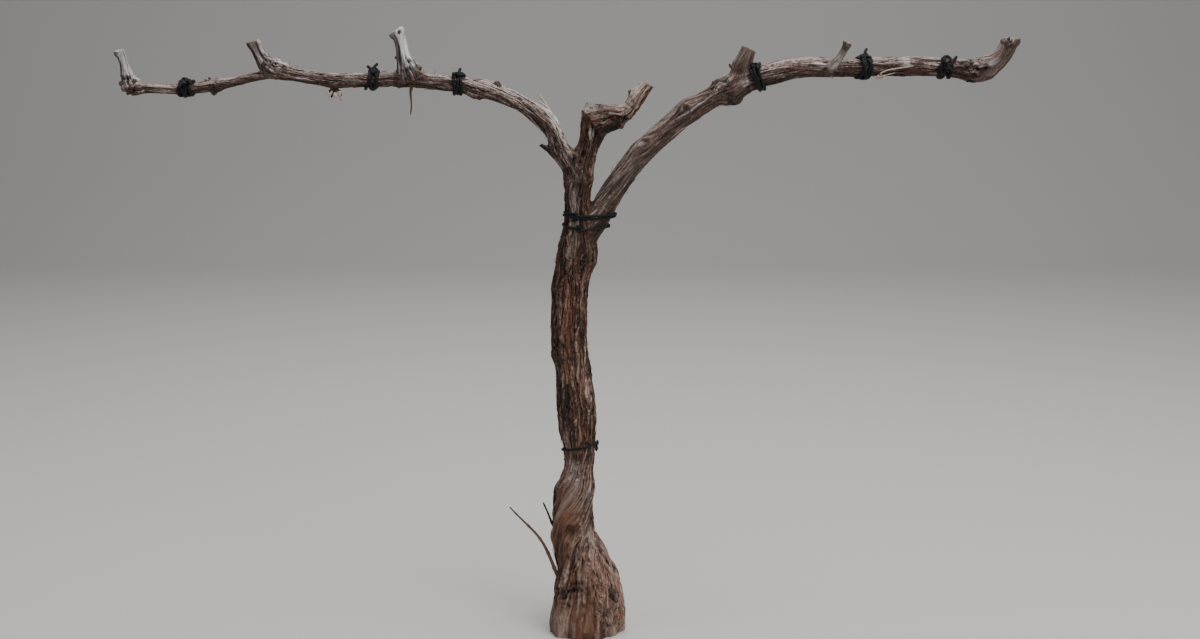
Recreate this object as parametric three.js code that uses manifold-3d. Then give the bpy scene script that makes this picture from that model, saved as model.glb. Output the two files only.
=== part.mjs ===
// A bare grapevine in winter: a short gnarled trunk that forks into two level arms, pruned back to spurs.
// Millimetres, +Z up. X runs along the row of vines and Y goes away from the viewer.
// The origin is at ground level, in the middle of the flat cut under the trunk.
import * as THREE from "three";
import { ConvexGeometry } from "three/addons/geometries/ConvexGeometry.js";
import { mergeVertices } from "three/addons/utils/BufferGeometryUtils.js";
import Module from "manifold-3d";

const wasm = await Module();
wasm.setup();

// Driving sizes: the radius of each kind of wood, which a limb's girth list multiplies
const RADIUS = { trunk: 22, arm: 11, spur: 8, shoot: 1.6 };

// Clearance between two limbs that meet, and between a tie and its limbs
const GAP = 0.3;

// Longest step along a limb, and the widest facet round it
const STEP = { trunk: 11, arm: 11, spur: 8, shoot: 12 };
const FACET = { trunk: 6.5, arm: 5.8, spur: 5.2, shoot: 1.8 };
const FEWEST_SIDES = 6;

// Ties of soft black tube: how thick a band they make, how far its edges are rounded, and the knot's size
const TIE_THICK = 2.6;
const TIE_EDGE = 1.2;
const TIE_SIDES = 14;
const KNOT_RADIUS = 3.4;

// Colour and roughness of each kind of surface
const LOOKS = {
  old_bark: { color: 0x5f5148, roughness: 0.93, metalness: 0 },
  arm_bark: { color: 0x776a62, roughness: 0.9, metalness: 0 },
  spur_wood: { color: 0x958d88, roughness: 0.82, metalness: 0 },
  shoot_bark: { color: 0x6e5748, roughness: 0.88, metalness: 0 },
  tie: { color: 0x24252a, roughness: 0.7, metalness: 0 },
};

// How each limb grows.
// on: the limb that bears it, and the share of that limb's length where it starts.
// after: the limb whose end it goes on from.
// bearing: degrees in the plane of the row, 0 to the right, 90 up, 180 to the left, at even steps along it.
// back: degrees that it leans away from the viewer, at even steps along it.
// girth: its radius at even steps along it, as multiples of the radius of its kind of wood.
// ribs: how many its section has, how deep they are, and the degrees that they have wound round it, at even
//   steps along it.
// lumps: swellings, each at a share of the length, with its half length and its height in millimetres as
//   reach and out. side is the angle round the limb, for one who travels along it with the viewer in front:
//   0 is its right hand, 90 its back, 180 its left hand and 270 its front. With no side it goes all round.
// cut: how steeply the pruning cut slants, and the side that it leaves longer.
const LIMBS = [
  {
    name: "trunk",
    wood: "trunk",
    look: "old_bark",
    length: 610,
    bearing: [90, 94, 105, 90, 80, 91, 95, 97, 90, 86, 82, 91, 81],
    back: [0, 4, 0, -6, -7, 0, 6, 6, 5, 0, -6, -2, -2],
    girth: [1.95, 1.8, 1.45, 1.15, 1.05, 0.85, 1.05, 0.95, 1, 0.95, 0.95, 0.65, 0.75],
    ribs: {
      count: 5,
      depth: 0.1,
      wound: [0, 4, 20, 75, 140, 165, 170, 174, 178, 180, 176, 172, 170],
    },
    lumps: [
      { at: 0.06, reach: 45, out: 7, side: 330 },
      { at: 0.02, reach: 28, out: 5, side: 215 },
      { at: 0.16, reach: 24, out: -4, side: 200 },
      { at: 0.235, reach: 11, out: -3.5, side: 270 },
      { at: 0.365, reach: 16, out: -3 },
      { at: 0.45, reach: 17, out: 4.5, side: 190 },
      { at: 0.62, reach: 12, out: 2.5, side: 215 },
      { at: 0.66, reach: 20, out: 3.5, side: 100 },
      { at: 0.745, reach: 12, out: 2.5, side: 205 },
      { at: 0.825, reach: 24, out: 7, side: 0 },
      { at: 0.875, reach: 12, out: -2, side: 90 },
    ],
  },
  {
    name: "right_arm",
    wood: "arm",
    look: "arm_bark",
    on: ["trunk", 0.845],
    length: 265,
    bearing: [51, 59, 48, 40, 27],
    back: [6, 4, 1, -3, -6],
    girth: [1.6, 1.3, 1.25, 1.3, 1.2],
    ribs: { count: 4, depth: 0.07, wound: [0, 35, 65] },
    lumps: [
      { at: 0.52, reach: 12, out: 2.5, side: 180 },
      { at: 0.56, reach: 11, out: 2, side: 250 },
      { at: 0.83, reach: 14, out: 3, side: 180 },
      { at: 0.84, reach: 12, out: 2, side: 260 },
    ],
  },
  {
    name: "right_cordon",
    wood: "arm",
    look: "arm_bark",
    after: "right_arm",
    length: 312,
    bearing: [27, 16, 0, 2, -1, -2],
    back: [-6, 0, 4, 2, -1, -3],
    girth: [1.2, 1.2, 1, 1, 1.05, 0.9],
    ribs: { count: 4, depth: 0.07, wound: [0, 30, 25, 30] },
    lumps: [
      { at: 0.01, reach: 11, out: 3, side: 180 },
      { at: 0.04, reach: 15, out: 5.5, side: 0 },
      { at: 0.045, reach: 15, out: 2 },
      { at: 0.38, reach: 22, out: 1.8, side: 200 },
      { at: 0.99, reach: 14, out: 3.5, side: 10 },
    ],
  },
  {
    name: "right_end_spur",
    wood: "spur",
    look: "spur_wood",
    after: "right_cordon",
    length: 70,
    bearing: [-2, 20, 53, 72],
    back: [-3, -6, -5, -5],
    girth: [1.65, 1.5, 1.3, 1.2],
    ribs: { count: 3, depth: 0.06, wound: [0, 10] },
    lumps: [
      { at: 0.16, reach: 15, out: 5.5, side: 0 },
      { at: 0.36, reach: 5, out: 1.4 },
    ],
    cut: { slant: 0.3, side: 0 },
  },
  {
    name: "right_shoulder_spur",
    wood: "spur",
    look: "spur_wood",
    on: ["right_cordon", 0.068],
    length: 49,
    bearing: [71, 70, 71],
    back: [-4, -2, 3],
    girth: [1.5, 1.45, 1.2],
    ribs: { count: 3, depth: 0.05, wound: [0, 10] },
    lumps: [{ at: 0.55, reach: 6, out: 2.2, side: 180 }],
    cut: { slant: 0.1, side: 180 },
  },
  {
    name: "right_thin_spur",
    wood: "spur",
    look: "shoot_bark",
    on: ["right_cordon", 0.45],
    length: 46,
    bearing: [44, 58, 69],
    back: [-64, -26, -4],
    girth: [0.95, 0.55, 0.5],
    ribs: { count: 3, depth: 0.04, wound: [0, 0] },
    lumps: [{ at: 0.97, reach: 5, out: 1.6 }],
    cut: { slant: 0.1, side: 180 },
  },
  {
    name: "left_arm",
    wood: "arm",
    look: "arm_bark",
    on: ["trunk", 0.979],
    length: 145,
    bearing: [101, 127, 113, 133, 148, 161],
    back: [-4, -4, -7, -5, -1, 4],
    girth: [1.55, 1.2, 0.9, 1, 0.9, 0.9],
    ribs: { count: 4, depth: 0.07, wound: [0, 30] },
    lumps: [{ at: 0.34, reach: 12, out: 3, side: 200 }],
  },
  {
    name: "left_inner_cordon",
    wood: "arm",
    look: "arm_bark",
    after: "left_arm",
    length: 270,
    bearing: [161, 169, 175, 179, 181, 174, 167],
    back: [4, 3, 0, -2, -4, -2, 2],
    girth: [0.85, 0.85, 0.8, 0.75, 0.8, 0.7, 0.8],
    ribs: { count: 4, depth: 0.07, wound: [0, 50] },
    lumps: [
      { at: 0.14, reach: 9, out: 4, side: 180 },
      { at: 0.095, reach: 12, out: 2.5, side: 0 },
      { at: 0.46, reach: 16, out: 2, side: 0 },
      { at: 0.79, reach: 12, out: 2.5, side: 180 },
    ],
  },
  {
    name: "left_end_spur_base",
    wood: "spur",
    look: "arm_bark",
    after: "left_inner_cordon",
    length: 32,
    bearing: [167, 163, 120],
    back: [2, -5, -8],
    girth: [1.25, 1.45, 1.4],
    ribs: { count: 3, depth: 0.07, wound: [0, 10] },
    lumps: [{ at: 0.55, reach: 9, out: 2, side: 0 }],
  },
  {
    name: "left_end_spur_tip",
    wood: "spur",
    look: "spur_wood",
    after: "left_end_spur_base",
    length: 29,
    bearing: [120, 114, 114],
    back: [-8, -9, -7],
    girth: [1.2, 0.95, 1.05],
    ribs: { count: 3, depth: 0.06, wound: [0, 10] },
    lumps: [],
    cut: { slant: 0.1, side: 180 },
  },
  {
    name: "left_inner_spur",
    wood: "spur",
    look: "spur_wood",
    on: ["left_inner_cordon", 0.436],
    length: 65,
    bearing: [114, 100, 103],
    back: [-8, -4, -2],
    girth: [1.2, 0.95, 0.9],
    ribs: { count: 3, depth: 0.07, wound: [0, 10] },
    lumps: [
      { at: 0, reach: 24, out: 8.5, side: 0 },
      { at: 0, reach: 19, out: 8, side: 180 },
      { at: 0.34, reach: 8, out: 1.5, side: 0 },
      { at: 0.92, reach: 5, out: 1.4, side: 180 },
    ],
    cut: { slant: 0.3, side: 0 },
  },
  {
    name: "left_outer_cordon",
    wood: "arm",
    look: "arm_bark",
    on: ["left_inner_cordon", 0.98],
    length: 205,
    bearing: [179, 192, 189, 179, 178],
    back: [4, 3, 2, -4, -3],
    girth: [0.5, 0.5, 0.6, 0.55, 0.5],
    ribs: { count: 3, depth: 0.05, wound: [0, 60] },
    lumps: [
      { at: 0.46, reach: 5, out: 2, side: 190 },
      { at: 0.48, reach: 5, out: 1.2, side: 10 },
      { at: 0.97, reach: 10, out: 3.5 },
    ],
  },
  {
    name: "left_outer_spur",
    wood: "spur",
    look: "spur_wood",
    on: ["left_outer_cordon", 0.977],
    length: 48,
    bearing: [114, 100, 111],
    back: [0, -5, -10],
    girth: [0.9, 0.6, 0.7],
    ribs: { count: 3, depth: 0.06, wound: [0, 10] },
    lumps: [
      { at: 0.05, reach: 12, out: 6, side: 0 },
      { at: 0.05, reach: 9, out: 6, side: 180 },
      { at: 0.44, reach: 6, out: 1.6 },
    ],
    cut: { slant: 0.2, side: 180 },
  },
  {
    name: "head_stub",
    wood: "arm",
    look: "old_bark",
    on: ["trunk", 0.99],
    length: 90,
    bearing: [81, 70, 86, 72],
    back: [3, 5, 3, 3],
    girth: [1.35, 1.2, 1.1, 0.95],
    ribs: { count: 5, depth: 0.1, wound: [0, 20] },
    lumps: [],
  },
  {
    name: "head_branch",
    wood: "arm",
    look: "old_bark",
    on: ["head_stub", 0.72],
    length: 45,
    bearing: [32, 14, 12],
    back: [14, 11, 5],
    girth: [1.85, 1.5, 1.15],
    ribs: { count: 3, depth: 0.08, wound: [0, 10] },
    lumps: [],
  },
  {
    name: "head_spur",
    wood: "spur",
    look: "spur_wood",
    on: ["head_branch", 0.862],
    length: 54,
    bearing: [17, 53, 54, 50],
    back: [5, 6, 6, 5],
    girth: [1.35, 1.2, 1.2, 1],
    ribs: { count: 3, depth: 0.05, wound: [0, 10] },
    lumps: [{ at: 0.62, reach: 6, out: 2, side: 180 }],
    cut: { slant: 0.2, side: 0 },
  },
  {
    name: "fork_snag",
    wood: "shoot",
    look: "old_bark",
    on: ["left_arm", 0.28],
    length: 32,
    bearing: [189, 154, 146],
    back: [-10, -20, -10],
    girth: [3.4, 2.4, 1.3],
    ribs: { count: 3, depth: 0.08, wound: [0, 10] },
    lumps: [],
  },
  {
    name: "fruit_stalk_stub",
    wood: "shoot",
    look: "shoot_bark",
    on: ["left_inner_cordon", 0.79],
    length: 27,
    bearing: [251, 276, 288],
    back: [-14, -10, 0],
    girth: [2.4, 1.9, 3, 3.4],
    ribs: { count: 3, depth: 0.12, wound: [0, 10] },
    lumps: [],
  },
  {
    name: "tendril_stub",
    wood: "shoot",
    look: "shoot_bark",
    on: ["left_inner_cordon", 0.43],
    length: 42,
    bearing: [262, 256, 276, 268, 258],
    back: [-12, -6, 4],
    girth: [1.3, 1, 0.7, 0.5],
    ribs: { count: 3, depth: 0.04, wound: [0, 10] },
    lumps: [],
  },
  {
    name: "foot_shoot_long",
    wood: "shoot",
    look: "shoot_bark",
    on: ["trunk", 0.085],
    length: 168,
    bearing: [182, 117, 111, 130, 131],
    back: [-12, -12, -12, -12, -5],
    girth: [2.3, 1.7, 1.3, 1, 0.6],
    ribs: { count: 3, depth: 0.05, wound: [0, 60] },
    lumps: [],
  },
  {
    name: "foot_shoot_short",
    wood: "shoot",
    look: "shoot_bark",
    on: ["trunk", 0.215],
    length: 64,
    bearing: [200, 119, 114],
    back: [14, 8, 0],
    girth: [1.5, 1.1, 0.6],
    ribs: { count: 3, depth: 0.05, wound: [0, 60] },
    lumps: [],
  },
];

// The ties left round the wood: the limbs that each holds, its place as a share of the first one's length,
// its width, and the side of the first limb where its knot is.
const TIES = [
  { name: "tie_trunk_low", limbs: ["trunk"], at: 0.413, wide: 4, knot: 20 },
  { name: "tie_trunk_middle", limbs: ["trunk", "right_arm"], at: 0.885, wide: 4, knot: 250 },
  { name: "tie_trunk_high", limbs: ["trunk", "right_arm"], at: 0.908, wide: 4, knot: 230 },
  { name: "tie_left_outer", limbs: ["left_outer_cordon"], at: 0.65, wide: 17, knot: 330 },
  { name: "tie_left_middle", limbs: ["left_inner_cordon"], at: 0.615, wide: 14, knot: 20 },
  { name: "tie_left_inner", limbs: ["left_inner_cordon"], at: 0.225, wide: 13, knot: 340 },
  { name: "tie_right_shoulder", limbs: ["right_cordon"], at: 0.158, wide: 10, knot: 250 },
  { name: "tie_right_middle", limbs: ["right_cordon"], at: 0.58, wide: 12, knot: 215 },
  { name: "tie_right_outer", limbs: ["right_cordon"], at: 0.91, wide: 17, knot: 270 },
];

const FULL_TURN = 2 * Math.PI;
const degrees = THREE.MathUtils.degToRad;
const limbNamed = new Map(LIMBS.map((limb) => [limb.name, limb]));

// The value at share t, from 0 to 1, of a list that holds it at even steps: a Catmull-Rom spline.
function along(list, t) {
  const last = list.length - 1;
  const place = THREE.MathUtils.clamp(t, 0, 1) * last;
  const i = Math.min(Math.floor(place), last - 1);
  const f = place - i;
  const [a, b, c, d] = [i - 1, i, i + 1, i + 2].map((k) => list[THREE.MathUtils.clamp(k, 0, last)]);
  return b + 0.5 * f * (c - a + f * (2 * a - 5 * b + 4 * c - d + f * (3 * (b - c) + d - a)));
}

// The direction of growth at share t.
function heading(limb, t) {
  const bearing = degrees(along(limb.bearing, t));
  const back = degrees(along(limb.back, t));
  return new THREE.Vector3(
    Math.cos(bearing) * Math.cos(back),
    Math.sin(back),
    Math.sin(bearing) * Math.cos(back),
  );
}

// Where a limb starts: the ground, a place inside the limb that bears it, or the end that it goes on from.
function startOf(limb) {
  if (limb.after) {
    const before = limbNamed.get(limb.after);
    return pointOn(before, 1).addScaledVector(heading(before, 1), GAP);
  }
  if (limb.on) return pointOn(limbNamed.get(limb.on[0]), limb.on[1]);
  return new THREE.Vector3();
}

// A limb's centreline, walked along its heading in short strides, with a point kept for each ring.
const STRIDES_PER_RING = 8;
function walk(limb) {
  limb.rings = Math.max(3, Math.ceil(limb.length / STEP[limb.wood]));
  const strides = limb.rings * STRIDES_PER_RING;
  const here = startOf(limb);
  limb.line = [here.clone()];
  for (let i = 0; i < strides; i++) {
    here.addScaledVector(heading(limb, (i + 0.5) / strides), limb.length / strides);
    if ((i + 1) % STRIDES_PER_RING === 0) limb.line.push(here.clone());
  }
}

// The point of the centreline at share t.
function pointOn(limb, t) {
  const place = THREE.MathUtils.clamp(t, 0, 1) * (limb.line.length - 1);
  const i = Math.min(Math.floor(place), limb.line.length - 2);
  return limb.line[i].clone().lerp(limb.line[i + 1], place - i);
}

// The directions along a limb at share t and across it: its back, and its right hand.
function across(limb, t) {
  const forward = heading(limb, t);
  const back = new THREE.Vector3(0, 1, 0);
  back.addScaledVector(forward, -back.dot(forward)).normalize();
  return { forward, back, right: new THREE.Vector3().crossVectors(back, forward) };
}

// How nearly an angle round a limb faces a side: 1 where they agree, 0 from a quarter turn away.
function facing(angle, side) {
  return Math.max(0, Math.cos(angle - degrees(side)));
}

// How far ribs sway to each side, in radians, and the distance along the limb from one sway to the next.
const SWAY = { size: 0.12, run: 85 };

// The limb's radius at share t and at an angle round it, with its ribs and its lumps.
function radiusAt(limb, t, angle) {
  const { count, depth, wound } = limb.ribs;
  const sway = SWAY.size * Math.sin((FULL_TURN * t * limb.length) / SWAY.run);
  const turned = angle - degrees(along(wound, t)) + sway;
  const ribs =
    0.6 * Math.cos(count * turned + limb.length) +
    0.4 * Math.cos((2 * count + 1) * turned + 2 * limb.length);
  let radius = RADIUS[limb.wood] * along(limb.girth, t) * (1 + depth * ribs);
  for (const lump of limb.lumps) {
    const off = ((t - lump.at) * limb.length) / lump.reach;
    const round = lump.side === undefined ? 1 : facing(angle, lump.side);
    radius += lump.out * Math.exp(-off * off) * round;
  }
  return radius;
}

// How far a slanted pruning cut carries the wood along its limb, near the limb's end.
const CUT_SHARE = 0.25;
function cutShift(limb, t, angle, radius) {
  if (!limb.cut) return 0;
  const near = THREE.MathUtils.smoothstep(t, 1 - CUT_SHARE, 1);
  return near * limb.cut.slant * radius * Math.cos(angle - degrees(limb.cut.side));
}

// The point of a limb's surface at share t and at an angle round it, grown outwards, with its cut's slant.
function surfacePoint(limb, t, angle, grow) {
  const { forward, back, right } = across(limb, t);
  const radius = radiusAt(limb, t, angle) + grow;
  return pointOn(limb, t)
    .addScaledVector(right, radius * Math.cos(angle))
    .addScaledVector(back, radius * Math.sin(angle))
    .addScaledVector(forward, cutShift(limb, t, angle, radius));
}

// A limb's closed tube: a cylinder bent along the limb, grown outwards and at its ends by grow.
function tube(limb, grow = 0) {
  const widest = RADIUS[limb.wood] * Math.max(...limb.girth);
  const sides = Math.max(FEWEST_SIDES, Math.round((FULL_TURN * widest) / FACET[limb.wood]));
  const geometry = new THREE.CylinderGeometry(1, 1, 1, sides, limb.rings);
  const places = geometry.attributes.position;
  for (let i = 0; i < places.count; i++) {
    const t = places.getY(i) + 0.5;
    const onWall = Math.hypot(places.getX(i), places.getZ(i)) > 0.5;
    const angle = Math.atan2(places.getX(i), places.getZ(i));
    const point = onWall ? surfacePoint(limb, t, angle, grow) : pointOn(limb, t);
    if (t <= 0) point.addScaledVector(heading(limb, 0), -grow);
    if (t >= 1) point.addScaledVector(heading(limb, 1), grow);
    places.setXYZ(i, ...point.toArray());
  }
  return solidOf(geometry);
}

function solidOf(geometry) {
  geometry.deleteAttribute("normal");
  geometry.deleteAttribute("uv");
  const merged = mergeVertices(geometry);
  return new wasm.Manifold(
    new wasm.Mesh({
      numProp: 3,
      vertProperties: merged.attributes.position.array,
      triVerts: new Uint32Array(merged.index.array),
    }),
  );
}

// The largest body of a solid, so that a cut leaves no loose scrap.
function largest(solid) {
  return solid.decompose().reduce((a, b) => (b.volume() > a.volume() ? b : a));
}

function meshOf(name, solid, look) {
  const { vertProperties, triVerts } = largest(solid).getMesh();
  const geometry = new THREE.BufferGeometry();
  geometry.setAttribute("position", new THREE.BufferAttribute(vertProperties, 3));
  geometry.setIndex(new THREE.BufferAttribute(triVerts, 1));
  geometry.computeVertexNormals();
  const mesh = new THREE.Mesh(geometry, new THREE.MeshStandardMaterial(LOOKS[look]));
  mesh.name = name;
  return mesh;
}

// The limbs, each cut clear of those made before it, except the one whose end it goes on from.
const grownTubes = new Map();
function limbMesh(limb) {
  walk(limb);
  let solid = tube(limb);
  for (const [name, other] of grownTubes) {
    if (name !== limb.after) solid = solid.subtract(other);
  }
  grownTubes.set(limb.name, tube(limb, GAP));
  return meshOf(limb.name, solid, limb.look);
}

// The share of a limb's length where it is nearest to a level plane through a point.
function shareAtLevel(limb, point, forward) {
  const heights = limb.line.map((place) => Math.abs(place.clone().sub(point).dot(forward)));
  return heights.indexOf(Math.min(...heights)) / (limb.line.length - 1);
}

// The solid drawn taut round the limbs that a tie holds. levels gives the heights of its sections, as
// multiples of half the tie's width, each with how far it stands off the wood.
function tautSolid(tie, levels) {
  const first = limbNamed.get(tie.limbs[0]);
  const { forward } = across(first, tie.at);
  const points = [];
  for (const [height, grow] of levels) {
    const centre = pointOn(first, tie.at).addScaledVector(forward, (height * tie.wide) / 2);
    for (const limb of tie.limbs.map((name) => limbNamed.get(name))) {
      const t = limb === first ? tie.at : shareAtLevel(limb, centre, forward);
      for (let i = 0; i < TIE_SIDES; i++) {
        const point = surfacePoint(limb, t, (FULL_TURN * i) / TIE_SIDES, grow);
        const off = point.clone().sub(centre).dot(forward);
        points.push(point.addScaledVector(heading(limb, t), -off / heading(limb, t).dot(forward)));
      }
    }
  }
  return solidOf(new ConvexGeometry(points));
}

// A tie: a band with a knot, drawn taut round the limbs that it holds and clear of all of them.
function tieMesh(tie) {
  const first = limbNamed.get(tie.limbs[0]);
  const rounded = TIE_THICK - TIE_EDGE;
  const band = tautSolid(tie, [[-1, rounded], [-0.5, TIE_THICK], [0.5, TIE_THICK], [1, rounded]]);
  const knotPlace = surfacePoint(first, tie.at, degrees(tie.knot), TIE_THICK);
  const knot = new THREE.SphereGeometry(KNOT_RADIUS, 8, 6).translate(...knotPlace.toArray());
  let solid = band.add(solidOf(knot));
  if (tie.limbs.length > 1) solid = solid.subtract(tautSolid(tie, [[-1.3, GAP], [1.3, GAP]]));
  for (const limb of grownTubes.values()) solid = solid.subtract(limb);
  return meshOf(tie.name, solid, "tie");
}

const grapevine = new THREE.Group();
grapevine.name = "grapevine";
grapevine.add(...LIMBS.map(limbMesh), ...TIES.map(tieMesh));

export default grapevine;
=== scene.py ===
import math

import bpy
import numpy as np
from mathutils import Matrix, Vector


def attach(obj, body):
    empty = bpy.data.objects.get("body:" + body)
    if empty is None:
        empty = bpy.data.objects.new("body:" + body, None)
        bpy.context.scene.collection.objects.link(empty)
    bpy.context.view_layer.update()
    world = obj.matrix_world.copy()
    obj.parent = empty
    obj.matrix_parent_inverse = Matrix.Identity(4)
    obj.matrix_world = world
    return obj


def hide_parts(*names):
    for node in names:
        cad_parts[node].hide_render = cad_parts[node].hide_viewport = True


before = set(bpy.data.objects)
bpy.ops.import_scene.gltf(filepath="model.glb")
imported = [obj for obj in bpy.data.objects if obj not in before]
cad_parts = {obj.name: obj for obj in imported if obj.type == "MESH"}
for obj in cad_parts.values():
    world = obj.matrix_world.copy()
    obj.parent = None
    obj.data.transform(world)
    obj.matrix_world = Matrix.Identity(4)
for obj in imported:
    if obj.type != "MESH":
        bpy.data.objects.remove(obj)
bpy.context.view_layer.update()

# The limbs: the same sizes and rule as the frame's solids
RADIUS = {"trunk": 22, "arm": 11, "spur": 8, "shoot": 1.6}
GAP = 0.3
STEP = {"trunk": 11, "arm": 11, "spur": 8, "shoot": 12}
STRIDES_PER_RING = 8
CUT_SHARE = 0.25
SWAY_SIZE = 0.12
SWAY_RUN = 85
MAIN_RIBS = 0.6
SMALL_RIBS = 0.4

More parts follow.
